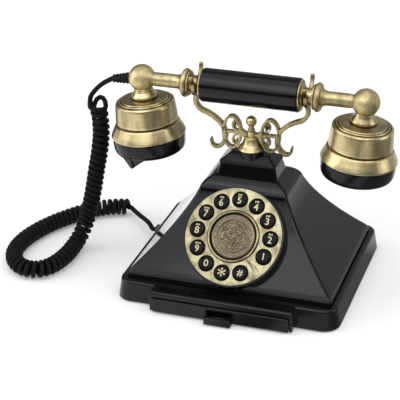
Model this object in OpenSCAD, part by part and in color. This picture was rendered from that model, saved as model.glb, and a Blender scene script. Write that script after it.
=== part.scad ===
// Desk telephone in a 1920s style: a flared housing on a tray with a drawer, a push-button dial,
// a scroll cradle that rises on a spring, and a handset with a straight grip and two bell cups.
// Millimetres. +Z is up, the dial faces -Y, and the origin is under the middle of the object.

/* [Tray] */
// Width of the tray at its top edge
tray_w = 174; // [170:1:182]
// Depth of the tray at its top edge
tray_d = 148; // [144:1:156]
// Height of the tray's top above the surface that the telephone stands on
tray_h = 17.4; // [17:0.1:20]
// How far each wall of the tray leans out on its way down
tray_draft = 2.4; // [1:0.1:3]
// Corner radius of the tray, seen from above
tray_corner = 11; // [8:0.5:14]
// Thickness of the plastic walls
wall = 2.6; // [2.2:0.1:3]
// Thickness of the bottom plate
plate_t = 1.6; // [1.2:0.1:2]
// How far the rubber feet stand out below the bottom plate
foot_h = 1; // [0.8:0.1:1.5]
// Radius of a rubber foot
foot_r = 6; // [4:0.5:7]

/* [Housing] */
// Width of the housing at its foot
foot_w = 164.6; // [160:0.2:166]
// Depth of the housing at its foot
foot_d = 131.6; // [128:0.2:134]
// Height of the rounded edge around the housing's foot
rim_h = 2.8; // [2:0.1:3.5]
// Width of the neck at its foot
neck_w = 49; // [46:0.5:52]
// Depth of the neck at its foot
neck_d = 28; // [26:0.5:30]
// Width of the neck at its top
neck_top_w = 44.6; // [42:0.2:46]
// Depth of the neck at its top
neck_top_d = 23.6; // [23:0.2:25]
// Height of the foot of the neck above the surface
neck_z = 90.6; // [88:0.2:94]
// Height of the neck itself
neck_h = 10.2; // [9.6:0.2:12]
// Height of the sloping cap on the neck
cap_h = 4.8; // [4:0.1:5]
// Height of the round seat on the cap, under the bell
seat_h = 2.9; // [2.6:0.1:4]

/* [Drawer] */
// Width of the frame around the drawer
frame_w = 114; // [110:1:120]
// How far the drawer's frame stands out from the tray
frame_reach = 10.3; // [8:0.1:12]
// Width of the drawer's front panel
panel_w = 108.6; // [104:0.2:109]
// Height of the drawer's front panel
panel_h = 11.2; // [10:0.1:11.4]
// How far the drawer's front panel stands out from its frame
panel_proud = 2; // [1:0.1:3]
// Length of the drawer behind its front panel
drawer_len = 104; // [90:1:110]
// How far the drawer pulls out
drawer_travel = 78; // [60:1:80]
// Width of the drawer's pull
pull_w = 21; // [16:0.5:30]
// How far the drawer's pull stands out
pull_reach = 6; // [4:0.2:8]

/* [Dial] */
// Radius of the brass dial plate
dial_r = 38.2; // [37:0.1:39]
// Thickness of the dial plate
dial_t = 1.6; // [1.2:0.1:2]
// Angle of the dial, leaned back from lying flat
dial_tilt = 51.3; // [50:0.1:53]
// Height of the dial's centre above the surface
dial_z = 55.9; // [55:0.1:57]
// Distance from the cradle's post forward to the dial's centre
dial_fwd = 48.6; // [48:0.1:50]
// Radius of the circle that the keys stand on
key_circle = 29.2; // [28.6:0.1:29.6]
// Radius of a key's cap
key_r = 5.9; // [5:0.1:6.1]
// Angle from one key to the next
key_step = 28.8; // [27:0.1:29.5]
// How far a key can be pressed
key_travel = 1.3; // [0.8:0.1:1.4]
// Radius of the medallion in the middle of the dial
medal_r = 17.2; // [15:0.1:17.6]
// Width of the bead around the medallion
bead_w = 3.2; // [2:0.1:3.4]

/* [Cradle] */
// Radius of the cradle's post
stem_r = 2.55; // [2.2:0.05:2.8]
// How far the cradle rises when the handset is lifted
cradle_travel = 3; // [2:0.1:3.4]
// Radius of the bell under the cradle, at its foot
bell_r = 10.5; // [9:0.1:11]
// Height of the bell under the cradle
bell_h = 9.3; // [8:0.1:11]
// Distance from the post to each fork
fork_x = 44.5; // [44.3:0.1:44.7]
// Thickness of the cast cradle arms
arm_t = 5.4; // [4:0.1:5.6]
// Width of the S-shaped bars
bar_w = 3.4; // [2.6:0.1:3.8]
// Width of the rim of the oval rings
ring_rim = 2.2; // [1.8:0.1:2.6]

/* [Handset] */
// Height of the handset's axis above the surface
axis_z = 157.7; // [157:0.1:160]
// Distance between the two ball joints
ball_span = 178; // [176:1:184]
// Radius of a ball joint
ball_r = 10.7; // [9.5:0.1:11]
// Radius of the black grip
grip_r = 13.2; // [12.2:0.1:14]
// Length of the black grip
grip_len = 77; // [74:0.5:77.5]
// Radius of the collars that lie in the cradle's forks
collar_r = 6.5; // [6:0.1:7]
// Radius of the brass rods
rod_r = 5.5; // [4.8:0.1:5.9]
// Angle at which the cups turn inwards
cup_tilt = 5; // [2:0.5:8]
// Largest radius of a cup, at its lower ring
cup_r = 29.7; // [28.5:0.1:31]
// Thickness of the cups' walls
cup_wall = 2.2; // [1.6:0.1:2.4]

/* [Cord] */
// Radius of the cord itself
cord_r = 2; // [1.7:0.1:2.1]
// Radius of the curled stretch, outside
curl_r = 7.2; // [6.6:0.1:7.3]
// Length of the ribbed strain relief
boot_len = 14.2; // [12:0.2:15]

/* [Hidden] */
$fn = 48;

// Fits
run_gap = 0.05;       // radial clearance of a pin or post that turns or slides
seat_gap = 0.02;      // clearance of a piece that is fixed in its seat
free_gap = 0.3;       // clearance between pieces of different bodies
eps = 0.01;

// Where the post stands: the origin is midway between the drawer's pull and the tray's back edge
front_reach = tray_d / 2 + frame_reach + panel_proud + pull_reach;
back_reach = tray_d / 2 + tray_draft;
post_y = (front_reach - back_reach) / 2;

// Heights in the base
floor_z = foot_h + plate_t;
deck_under = tray_h - wall;
sleeve_t = 1.2;
sleeve_top = deck_under - 0.2;
sleeve_in = sleeve_top - sleeve_t;
sleeve_w = panel_w + 1;
drawer_z = floor_z + free_gap;
drawer_wall = 1.6;
drawer_w = panel_w - 1;
drawer_top = sleeve_in - 1;
frame_y = tray_d / 2 + frame_reach;
panel_t = 3;
panel_y = frame_y + panel_proud;
panel_z = foot_h + 0.2;
pull_h = 6;
pull_floor = 2.4;
sleeve_end = drawer_len - (frame_y - panel_t + panel_proud) + 1.4;
tray_inner_y = tray_d / 2 - wall;

// The housing's flare: corner offset, as a share of the way from neck to foot, against height
rim_z = tray_h + rim_h;
plinth_in = 1.2;
shoulder_share = 0.2;
shoulder_z = neck_z - 11;
neck_top = neck_z + neck_h;
flare_points = [[1, rim_z + 0.4], [0.404, shoulder_z - 25.2], [shoulder_share, shoulder_z]];
shoulder_points = [[shoulder_share, shoulder_z], [0.17, neck_z - 4], [0, neck_z]];
flare_steps = 9;
shoulder_steps = 4;
ridge_r = 2.4;
plateau = [33, 12];
seat_r = 9.8;
lip = 0.5;

// The dial
pocket_r = dial_r - 1.8;
boss_r = dial_r + 1.2;
pocket_depth = 12;
boss_depth = 13.6;
key_hole_r = key_r + 0.3;
key_flange_r = key_r + 0.9;
key_rim = 0.9;
key_dome = 0.8;
key_stem_r = 2;
carrier_top = dial_t + 0.1 + key_rim + key_travel + free_gap;
carrier_bottom = 8;
mat_t = 1.6;
board_t = 1.6;
board_size = [100, 78];
ballast_size = [90, 6];     // width and height; its depth fills the room behind the drawer
ballast_gap = 4;
sounder_size = [13, 7];
key_names = ["5", "6", "7", "8", "9", "0", "star", "hash", "1", "2", "3", "4"];

// The cradle
cap_top = neck_top + cap_h;
seat_top = cap_top + seat_h;
bell_top = seat_top + bell_h;
hub_z = bell_top + 0.5;
hub_r = 3.6;
hub_h = 4;
roof_z = neck_top - wall;
clip_t = 1;
clip_z = roof_z - cradle_travel - clip_t - 0.1;
bracket_t = 1.4;
bracket_z = roof_z - 14.2;
bracket_w = 33;
stem_foot = bracket_z - 6.8;
lever_t = 2;
pivot = [12.5, stem_foot - free_gap - lever_t / 2];
pin_r = 1;
spring_wire = 0.5;
spring_r = 4;
fork_r = collar_r + free_gap;
prong_t = 2.6;
fork_w = 3.2;
prong_back = 13.2;
prong_front = 9.3;
prong_lean = 4;
// The S-shaped bar, from the fork to its curled tip: distance beyond the fork, height below the axis
bar_points = [
    [0, -9], [0.2, -15], [-3.6, -20.2], [-9.5, -22.8], [-15.5, -26.2], [-20.6, -31], [-23.3, -36.8],
    [-23.5, -42.6], [-20.8, -48.2], [-16.4, -50.6], [-12.9, -48.8], [-11.9, -44.2]
];
ring_at = [15.4, -36.4];
ring_size = [8.1, 14.2];
ring_steps = 40;

// The handset, along its axis from the middle of the grip
grip_end = grip_len / 2;
collar_start = fork_x - fork_w / 2 - 0.4;
collar_end = fork_x + fork_w / 2 + 2.6;
flange_r = 11.4;
flange_end = collar_end + 6.6;
ball_x = ball_span / 2;
rod_bore = 3.4;
rod_into_ball = 3.4;
grip_bore = 4.2;
// A cup, along its own axis from the ball's centre
neck_s = 7.6;
top_s = 16.6;
seam_s = 35.6;
ring_s = 46.9;
face_s = 60.3;
body_r = cup_r - 4.8;
cap_r = cup_r - 0.9;
hood_s = 68.8;
hood_r = 23.4;
hood_w = [4.8, 15.5];
hood_turn = 66;
boot_droop = 8;
boot_r = 4.8;
boot_tip_r = 3.1;

// The cord's route, from the post's foot
lead_points = [
    [-121, 0, 149.9], [-126, -0.4, 145.8], [-129.7, -1, 141.8], [-132.2, -1.6, 137.4], [-133.2, -2, 134.4],
    [-133.5, -2.1, 132.4]
];
curl_points = [
    [-127.5, 0, 131.9], [-126, 0, 118], [-126, 0, 105], [-128, 0, 90], [-131.5, 0, 73], [-135, 0, 55],
    [-138.5, 0, 40], [-143, -1, 24], [-147, -6, 12], [-148.5, -20, 7.5], [-149, -36, 7.5], [-153.5, -53, 7.5],
    [-163, -62, 7.5], [-176, -60.5, 7.5], [-187, -50, 7.5], [-192.5, -35, 7.5], [-192.5, -17, 7.5],
    [-188.5, 0, 7.5], [-182, 16, 7.5], [-174, 30, 7.5], [-164, 44, 7.5], [-152, 55, 7.5], [-141, 61, 7.5],
    [-130, 64, 7.5]
];
tail_points = [
    [-129, 64.3, 7.7], [-126.7, 64, 7.8], [-123, 59.2, 8], [-114.7, 50, 8.2], [-105.4, 41.8, 8.5],
    [-100.4, 36.4, 8.7], [-97.6, 31.2, 8.7]
];
jack_z = 8.7;
jack_y = 29;
line_jack_x = 28;
jack_size = [14, 12, 11.2];
jack_hole = [7.8, 6.8];
plug_size = [7.2, 6.2];
plug_out = 4.2;
plug_in = 8;

// ---------- helpers ----------

function unit(v) = v / norm(v);

function bezier(p, t) = (1 - t) * (1 - t) * p[0] + 2 * t * (1 - t) * p[1] + t * t * p[2];

// A point of the Catmull-Rom curve through p, at t steps
function smooth_point(p, t) =
    let (n = len(p), i = min(floor(t), n - 2), u = t - i,
         a = p[max(i - 1, 0)], b = p[i], c = p[i + 1], d = p[min(i + 2, n - 1)])
    0.5 * (2 * b + (c - a) * u + (2 * a - 5 * b + 4 * c - d) * u * u + (3 * b - a - 3 * c + d) * u * u * u);

function smooth(p, steps) = [for (i = [0:(len(p) - 1) * steps]) smooth_point(p, i / steps)];

function tangent(p, i) = unit(p[min(i + 1, len(p) - 1)] - p[max(i - 1, 0)]);

// A rounded rectangle as points at one height
function ring_points(half_w, half_d, r, z, n = 4) = [
    for (c = [[1, 1, 0], [-1, 1, 90], [-1, -1, 180], [1, -1, 270]], k = [0:n])
        let (a = c[2] + 90 * k / n)
        [c[0] * (half_w - r) + r * cos(a), c[1] * (half_d - r) + r * sin(a), z]
];

// A closed solid through rings of points, lowest first
module skin(rings) {
    n = len(rings[0]);
    m = len(rings);
    polyhedron(
        points = [for (r = rings, p = r) p],
        faces = concat(
            [[for (i = [0:n - 1]) i]],
            [for (j = [0:m - 2], i = [0:n - 1]) [j * n + i, (j + 1) * n + i, j * n + (i + 1) % n]],
            [for (j = [0:m - 2], i = [0:n - 1])
                [(j + 1) * n + i, (j + 1) * n + (i + 1) % n, j * n + (i + 1) % n]],
            [[for (i = [0:n - 1]) m * n - 1 - i]]
        )
    );
}

// A tube along points, turned with them so that it does not twist
module tube(p, r, sides = 8, first = [0, 1, 0]) {
    rings = [
        for (i = 0, up = unit(first - (first * tangent(p, 0)) * tangent(p, 0)); i < len(p);
             i = i + 1, up = i < len(p) ? unit(up - (up * tangent(p, i)) * tangent(p, i)) : up)
            let (t = tangent(p, i), side = cross(t, up))
            [for (k = [0:sides - 1]) p[i] + r * (cos(360 * k / sides) * side - sin(360 * k / sides) * up)]
    ];
    skin(rings);
}

// A flat band of varying width along points in a plane
function band(p, w) =
    let (n = len(p), side = [for (i = [0:n - 1]) let (t = tangent(p, i)) [-t[1], t[0]]])
    concat(
        [for (i = [0:n - 1]) p[i] + side[i] * w[i] / 2],
        [for (i = [n - 1:-1:0]) p[i] - side[i] * w[i] / 2]);

module rounded_slab(w, d, r, z, t) {
    for (sx = [-1, 1], sy = [-1, 1])
        translate([sx * (w / 2 - r), sy * (d / 2 - r), z]) cylinder(r = r, h = t, $fn = 32);
}

module at_post() {
    translate([0, post_y, 0]) children();
}

// The dial's own frame: +Z out of its face, +Y up its face, zero at the plate's front
module at_dial() {
    translate([0, post_y - dial_fwd, dial_z]) rotate([dial_tilt, 0, 0]) children();
}

module at_key(i) {
    // The fifth key stands at the top; the last four follow after the gap at the finger stop
    angle = i < 8 ? 90 + i * key_step : 90 - (12 - i) * key_step;
    rotate([0, 0, angle]) translate([key_circle, 0, 0]) children();
}

module at_axis() {
    translate([0, post_y, axis_z]) children();
}

// Both ends of the handset: +X from the middle of the grip
module both_ends() {
    for (side = [0, 1]) at_axis() mirror([side, 0, 0]) children();
}

// A cup's own frame: zero at the ball's centre, -Z towards the cup's face; side is 1 for the right
module at_cup(side) {
    at_axis() translate([side * ball_x, 0, 0]) rotate([0, side * cup_tilt, 0]) children();
}

// ---------- base ----------

function flare_ring(share, z, inset = 0, r = ridge_r) = ring_points(
    neck_w / 2 + (foot_w - neck_w) / 2 * share - inset,
    neck_d / 2 + (foot_d - neck_d) / 2 * share - inset, r, z);

function flare_rings(inset) = concat(
    [for (k = [0:flare_steps]) let (q = bezier(flare_points, k / flare_steps)) flare_ring(q[0], q[1], inset)],
    [for (k = [1:shoulder_steps]) let (q = bezier(shoulder_points, k / shoulder_steps))
        flare_ring(q[0], q[1], inset)]
);

module housing_outside() {
    skin(concat(
        [flare_ring(1, tray_h, plinth_in), flare_ring(1, tray_h + plinth_in, plinth_in),
         flare_ring(1, tray_h + plinth_in + 0.4)],
        flare_rings(0),
        [ring_points(neck_top_w / 2, neck_top_d / 2, ridge_r, neck_top - 2),
         ring_points(neck_top_w / 2 + lip, neck_top_d / 2 + lip, ridge_r, neck_top - 1.6),
         ring_points(neck_top_w / 2 + lip, neck_top_d / 2 + lip, ridge_r, neck_top)]
    ));
}

module housing_inside() {
    skin(concat(
        [flare_ring(1, tray_h - 1, plinth_in + wall)],
        flare_rings(wall),
        [ring_points(neck_top_w / 2 - wall, neck_top_d / 2 - wall, ridge_r, roof_z)]
    ));
}

post_at = [66, 50];

module screw_places() {
    for (sx = [-1, 1], sy = [-1, 1]) translate([sx * post_at[0], sy * post_at[1], 0]) children();
}

module housing() {
    color("#141416") difference() {
        union() {
            at_post() housing_outside();
            difference() {
                at_dial() translate([0, 0, -boss_depth]) cylinder(r = boss_r, h = boss_depth - dial_t);
                translate([-1.25 * boss_r, -tray_d, -tray_h])
                    cube([2.5 * boss_r, 2 * tray_d, 2 * tray_h + plinth_in]);
            }
            at_post() screw_places() translate([0, 0, floor_z + seat_gap]) cylinder(r = 4.3, h = 17);
        }
        difference() {
            at_post() housing_inside();
            at_dial() translate([0, 0, -boss_depth]) cylinder(r = boss_r, h = boss_depth);
            at_post() screw_places() cylinder(r = 4, h = rim_z);
        }
        at_dial() translate([0, 0, -pocket_depth]) cylinder(r = pocket_r, h = pocket_depth + 1);
        at_dial() translate([0, 0, -boss_depth - 10]) cylinder(r = 15, h = 20);
        at_post() translate([0, 0, roof_z - 1]) cylinder(r = stem_r + 0.8, h = wall + 2);
        at_post() screw_places() translate([0, 0, floor_z - 1]) cylinder(r = 1.4 + seat_gap, h = 15);
    }
}

module neck_cap() {
    color("#141416") at_post() difference() {
        union() {
            hull() {
                rounded_slab(neck_top_w, neck_top_d, 1, neck_top, eps);
                rounded_slab(plateau[0], plateau[1], 1, cap_top - eps, eps);
            }
            translate([0, 0, neck_top + 1]) cylinder(r = seat_r, h = cap_h + seat_h - 1);
        }
        translate([0, 0, neck_top - 1]) cylinder(r = stem_r + 0.8, h = cap_h + seat_h + 2);
    }
}

module cradle_bell() {
    color("#b29a5e") at_post() translate([0, 0, seat_top + seat_gap]) rotate_extrude() polygon([
        [stem_r + run_gap, 0], [bell_r - 0.6, 0], [bell_r, 0.4], [bell_r, 1], [bell_r - 0.8, 1.9],
        [bell_r - 2.2, 3.4], [bell_r - 3.4, 5.2], [bell_r - 4.2, 7], [bell_r - 4.8, bell_h - 0.7],
        [bell_r - 5, bell_h], [stem_r + run_gap, bell_h]
    ]);
}

module frame_block() {
    // The frame stands out of the tray's front, with a softened top edge
    edge = 1.2;
    translate([-frame_w / 2, 0, 0]) rotate([90, 0, 90]) linear_extrude(frame_w) polygon([
        [-frame_y, foot_h], [-frame_y, tray_h - edge], [-frame_y + edge, tray_h - 0.1],
        [-tray_d / 2 + 6, tray_h - 0.1], [-tray_d / 2 + 6, foot_h]
    ]);
}

module jack_window() {
    translate([0, 0, jack_z]) cube([40, jack_hole[0] + 3, jack_hole[1] + 3], center = true);
}

module tray() {
    edge = 2;
    color("#141416") at_post() difference() {
        union() {
            hull() {
                rounded_slab(tray_w + 2 * tray_draft, tray_d + 2 * tray_draft, tray_corner + tray_draft,
                    foot_h, eps);
                rounded_slab(tray_w, tray_d, tray_corner, tray_h - edge, eps);
                rounded_slab(tray_w - 2 * edge, tray_d - 2 * edge, tray_corner - edge, tray_h - eps, eps);
            }
            frame_block();
        }
        hull() {
            rounded_slab(tray_w + 2 * tray_draft - 2 * wall, tray_d + 2 * tray_draft - 2 * wall,
                tray_corner + tray_draft - wall, foot_h - eps, eps);
            rounded_slab(tray_w - 2 * wall, tray_d - 2 * wall, tray_corner - wall, deck_under - eps, eps);
        }
        hull() rounded_slab(foot_w - 12, foot_d - 12, 3, deck_under - 1, wall + 2);
        translate([-panel_w / 2 - 0.4, -frame_y - 1, -1]) cube([panel_w + 0.8, 40, panel_z + panel_h + 1.3]);
        translate([-tray_w / 2, jack_y, 0]) jack_window();
        translate([line_jack_x, tray_d / 2, 0]) rotate([0, 0, 90]) jack_window();
    }
}

foot_at = [tray_w / 2 - 2 * foot_r, tray_d / 2 - 2 * foot_r];

module foot_places() {
    for (sx = [-1, 1], sy = [-1, 1]) translate([sx * foot_at[0], sy * foot_at[1], 0]) children();
}

module base_plate() {
    gap = 0.5;
    color("#222224") at_post() difference() {
        union() {
            hull() rounded_slab(tray_w + 2 * tray_draft - 2 * wall - 2 * gap,
                tray_d + 2 * tray_draft - 2 * wall - 2 * gap,
                tray_corner + tray_draft - wall, foot_h, plate_t);
            translate([-panel_w / 2, -frame_y - panel_proud + panel_t + 0.4, foot_h])
                cube([panel_w, frame_reach + 10, plate_t]);
        }
        foot_places() translate([0, 0, foot_h - 1]) cylinder(r = foot_r + seat_gap, h = 1 + plate_t / 2);
        screw_places() translate([0, 0, foot_h - 1]) cylinder(r = 3 + seat_gap, h = 1.9);
        screw_places() translate([0, 0, foot_h - 1]) cylinder(r = 1.5, h = plate_t + 2);
    }
}

module rubber_feet() {
    color("#1b1b1b") at_post() foot_places() cylinder(r = foot_r, h = foot_h + plate_t / 2 - seat_gap);
}

module base_screws() {
    color("silver") at_post() screw_places() translate([0, 0, foot_h]) difference() {
        union() {
            cylinder(r = 3, h = 0.9 - seat_gap);
            cylinder(r = 1.4, h = 13);
        }
        translate([-2, -0.4, -1]) cube([4, 0.8, 1.5]);
    }
}

module drawer_compartment() {
    color("#2a2a2c") at_post() {
        difference() {
            translate([-sleeve_w / 2 - sleeve_t, -tray_inner_y + 1, floor_z + seat_gap])
                cube([sleeve_w + 2 * sleeve_t, tray_inner_y - 1 + sleeve_end + sleeve_t,
                    sleeve_top - floor_z - seat_gap]);
            translate([-sleeve_w / 2, -tray_inner_y, floor_z - 1])
                cube([sleeve_w, tray_inner_y + sleeve_end, sleeve_in - floor_z + 1]);
        }
        for (sx = [-1, 1], y = [-24, sleeve_end + sleeve_t - 2.3])
            translate([sx * 44, y, sleeve_top - eps]) cylinder(r = 2.5, h = 4);
    }
}

module main_board() {
    color("#24532f") at_post() translate([-board_size[0] / 2, -30, sleeve_top + 4 + seat_gap]) {
        cube([board_size[0], board_size[1], board_t]);
        for (x = [14, 34, 62, 80]) translate([x, 12, board_t - eps]) cube([9, 14, 3.4]);
        translate([70, 62, board_t - eps]) cube([16, 10, 7]);
    }
}

module sounder() {
    at = [-26, 30];
    color("#303033") at_post() translate([at[0], at[1], sleeve_top + 4 + board_t + 2 * seat_gap])
        difference() {
        cylinder(r = sounder_size[0], h = sounder_size[1]);
        translate([0, 0, sounder_size[1] - 1.5]) cylinder(r = 2, h = 3);
    }
}

module ballast() {
    front = sleeve_end + sleeve_t + ballast_gap;
    back = tray_d / 2 - wall - jack_size[0] - ballast_gap - 0.1;
    color("#77777a") at_post() translate([-ballast_size[0] / 2, front, floor_z + seat_gap])
        cube([ballast_size[0], back - front, ballast_size[1]]);
}

// A four-way jack: +X out of its mouth, its face level with the wall
module jack() {
    out = tray_draft * (tray_h - 2 - jack_z) / (tray_h - 2 - foot_h);
    translate([0, 0, jack_z]) difference() {
        union() {
            translate([-jack_size[0] - wall - 1.2 + out, -jack_size[1] / 2, -jack_size[2] / 2 + 0.2])
                cube([jack_size[0], jack_size[1], jack_size[2]]);
            translate([-wall - 2, -jack_hole[0] / 2 - 1.2, -jack_hole[1] / 2 - 1.2])
                cube([wall + 2 + out - 0.4, jack_hole[0] + 2.4, jack_hole[1] + 2.4]);
        }
        translate([-plug_in - 2, -jack_hole[0] / 2, -jack_hole[1] / 2])
            cube([plug_in + 8, jack_hole[0], jack_hole[1]]);
    }
}

module cord_jacks() {
    color("#1d1d1f") at_post() {
        translate([-tray_w / 2, jack_y, 0]) mirror([1, 0, 0]) jack();
        translate([line_jack_x, tray_d / 2, 0]) rotate([0, 0, 90]) jack();
    }
}

// ---------- drawer ----------

module drawer() {
    box_y = -panel_y + panel_t - eps;
    lug_y = -tray_inner_y + drawer_travel + 0.3;
    color("#141416") at_post() {
        difference() {
            translate([-panel_w / 2, -panel_y, panel_z]) cube([panel_w, panel_t, panel_h]);
            translate([-pull_w / 2 + 0.8, -panel_y - 1, panel_z + pull_floor])
                cube([pull_w - 1.6, 1 + panel_t - 1.2, panel_h - 2.6 - pull_floor]);
        }
        difference() {
            translate([-drawer_w / 2, box_y, drawer_z]) cube([drawer_w, drawer_len, drawer_top - drawer_z]);
            translate([-drawer_w / 2 + drawer_wall, box_y - 1, drawer_z + drawer_wall])
                cube([drawer_w - 2 * drawer_wall, drawer_len + 1 - drawer_wall, 40]);
        }
        for (sx = [-1, 1])
            translate([sx * (drawer_w - drawer_wall) / 2 - drawer_wall / 2, lug_y, drawer_top - eps])
                cube([drawer_wall, 3, sleeve_in - free_gap - drawer_top]);
    }
}

module drawer_pull() {
    // A block hollowed out from above, so that a crescent-shaped lip stands in front of the fingers
    deep = pull_reach - 1.2;
    half = pull_w / 2 - 1.4;
    r = (half * half + deep * deep) / (2 * deep);
    color("#141416") at_post() translate([0, -panel_y, panel_z]) difference() {
        translate([-pull_w / 2, -pull_reach, 0]) cube([pull_w, pull_reach - seat_gap, pull_h]);
        translate([0, r - deep, pull_floor]) cylinder(r = r, h = pull_h);
    }
}

// ---------- dial ----------

module dial_plate() {
    color("#b8a26a") at_dial() difference() {
        translate([0, 0, -dial_t + seat_gap]) rotate_extrude() polygon([
            [0, 0], [dial_r, 0], [dial_r, dial_t - 0.5], [dial_r - 0.5, dial_t], [0, dial_t]
        ]);
        for (i = [0:11]) at_key(i) translate([0, 0, -dial_t - 1]) cylinder(r = key_hole_r, h = dial_t + 2);
    }
}

module dial_ring() {
    color("#c2ae78") at_dial() translate([0, 0, 2 * seat_gap]) rotate_extrude() polygon([
        [medal_r + seat_gap, 0], [medal_r + bead_w, 0], [medal_r + bead_w - 0.3, 0.9],
        [medal_r + bead_w * 0.6, 1.7], [medal_r + bead_w * 0.35, 1.8], [medal_r + 0.4, 1.1],
        [medal_r + seat_gap, 0.6]
    ]);
}

module medallion() {
    color("#8f8464") at_dial() translate([0, 0, 2 * seat_gap]) rotate_extrude() polygon([
        [0, 0], [medal_r, 0], [medal_r, 0.4], [medal_r * 0.76, 0.4], [medal_r * 0.73, 0.7],
        [medal_r * 0.68, 0.7],
        [medal_r * 0.65, 0.4], [medal_r * 0.36, 0.4], [medal_r * 0.3, 0.9], [0, 1.1]
    ]);
}

module finger_stop() {
    // A raised fin in the gap between the last key and the first, widening towards the rim
    from = medal_r + bead_w + 1.6;
    stop = dial_r - 2.2;
    steps = 8;
    line = [for (k = [0:steps]) let (r = from + (stop - from) * k / steps,
        a = -50 + 3.4 * sin(180 * k / steps))
        [r * cos(a), r * sin(a)]];
    color("#c2ae78") at_dial() translate([0, 0, 2 * seat_gap]) linear_extrude(0.9)
        polygon(band(line, [for (k = [0:steps]) 1.4 + 4.4 * pow(k / steps, 1.5)]));
}

module key_carrier() {
    color("#1a1a1c") at_dial() difference() {
        union() {
            translate([0, 0, -carrier_bottom]) cylinder(r = pocket_r - 0.1, h = carrier_bottom - carrier_top);
            translate([0, 0, -carrier_bottom])
                cylinder(r = key_circle - key_flange_r - free_gap, h = carrier_bottom - dial_t - seat_gap);
        }
        for (i = [0:11]) at_key(i) translate([0, 0, -carrier_bottom - 1])
            cylinder(r = key_stem_r + run_gap, h = carrier_bottom);
    }
}

module keypad_mat() {
    well = key_travel + 0.1;
    color("#8d8f92") at_dial() translate([0, 0, -carrier_bottom - seat_gap - mat_t]) difference() {
        cylinder(r = pocket_r - 1, h = mat_t);
        for (i = [0:11]) at_key(i) translate([0, 0, mat_t - well])
            cylinder(r = key_stem_r + 0.5, h = well + 1);
    }
}

module keypad_board() {
    color("#24532f") at_dial() translate([0, 0, -carrier_bottom - 2 * seat_gap - mat_t - board_t])
        difference() {
        cylinder(r = pocket_r - 1, h = board_t);
        for (a = [0, 180]) rotate([0, 0, a]) translate([9, 0, -1]) cylinder(r = 1.6, h = board_t + 2);
    }
}

module key(i) {
    under = dial_t + 0.1;
    color("#1c1714") at_dial() at_key(i) rotate_extrude() polygon([
        [0, -carrier_bottom + 0.05], [key_stem_r, -carrier_bottom + 0.05], [key_stem_r, -under - key_rim],
        [key_flange_r, -under - key_rim], [key_flange_r, -under], [key_r, -under], [key_r, 0.5],
        [key_r - 0.5, 0.5 + key_dome * 0.45], [key_r * 0.6, 0.5 + key_dome * 0.85], [0, 0.5 + key_dome]
    ]);
}

module key_named(name) {
    key(search([name], key_names)[0]);
}

// ---------- hook switch ----------

module stem_bracket() {
    cheek = 1.2;
    leg = bracket_t;
    color("silver") at_post() difference() {
        union() {
            translate([-bracket_w / 2, -5, bracket_z]) cube([bracket_w, 10, bracket_t]);
            for (sx = [-1, 1]) {
                translate([sx * (bracket_w - leg) / 2 - leg / 2, -5, bracket_z])
                    cube([leg, 10, roof_z - bracket_z - seat_gap]);
                translate([sx * ((bracket_w - leg) / 2 - 2.5) - 2.5 - leg / 2, -5, roof_z - seat_gap - leg])
                    cube([5 + leg, 10, leg]);
                translate([pivot[0] - 3, sx * 4 - cheek / 2, pivot[1] - 2.6])
                    cube([6, cheek, bracket_z - pivot[1] + 2.6 + eps]);
            }
            translate([-bracket_w / 2, -3, pivot[1] - 10.4]) cube([leg, 6, bracket_z - pivot[1] + 10.5]);
        }
        translate([0, 0, bracket_z - 1]) cylinder(r = stem_r + run_gap, h = bracket_t + 2);
        translate([pivot[0], 10, pivot[1]]) rotate([90, 0, 0]) cylinder(r = pin_r + seat_gap, h = 20);
    }
}

module lever_pin() {
    color("silver") at_post() translate([pivot[0], 5, pivot[1]]) rotate([90, 0, 0])
        cylinder(r = pin_r, h = 10);
}

module hook_lever() {
    tail_x = -9.5;
    color("gold") at_post() difference() {
        union() {
            translate([tail_x, -2, pivot[1] - lever_t / 2]) cube([pivot[0] - tail_x, 4, lever_t]);
            translate([tail_x, -2, pivot[1] - 3.4]) cube([lever_t, 4, 3.4]);
            translate([pivot[0], 2, pivot[1]]) rotate([90, 0, 0]) cylinder(r = 2.2, h = 4);
        }
        translate([pivot[0], 10, pivot[1]]) rotate([90, 0, 0]) cylinder(r = pin_r + run_gap, h = 20);
    }
}

module hook_switch() {
    top = pivot[1] - 4.4;
    color("#202022") at_post() {
        translate([-bracket_w / 2 + bracket_t + seat_gap, -3, top - 6]) cube([11, 6, 6]);
        translate([-8.5, 0, top - eps]) cylinder(r = 0.9, h = 0.7);
    }
}

module cradle_spring() {
    from = bracket_z + bracket_t + spring_wire + 0.1;
    rise = clip_z - 0.1 - spring_wire - from;
    turns = 4;
    steps = 12;
    color("silver") at_post() tube([for (k = [0:turns * steps]) let (a = 360 * k / steps)
        [spring_r * cos(a), spring_r * sin(a), from + rise * k / (turns * steps)]],
        spring_wire, 6, [0, 0, 1]);
}

// ---------- cradle ----------

module cradle_stem() {
    color("#b29a5e") at_post() translate([0, 0, stem_foot])
        cylinder(r = stem_r, h = hub_z + hub_h - 1 - stem_foot);
}

module stem_clip() {
    color("silver") at_post() translate([0, 0, clip_z]) difference() {
        cylinder(r = 4.6, h = clip_t);
        translate([0, 0, -1]) cylinder(r = stem_r + seat_gap, h = clip_t + 2);
    }
}

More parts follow.
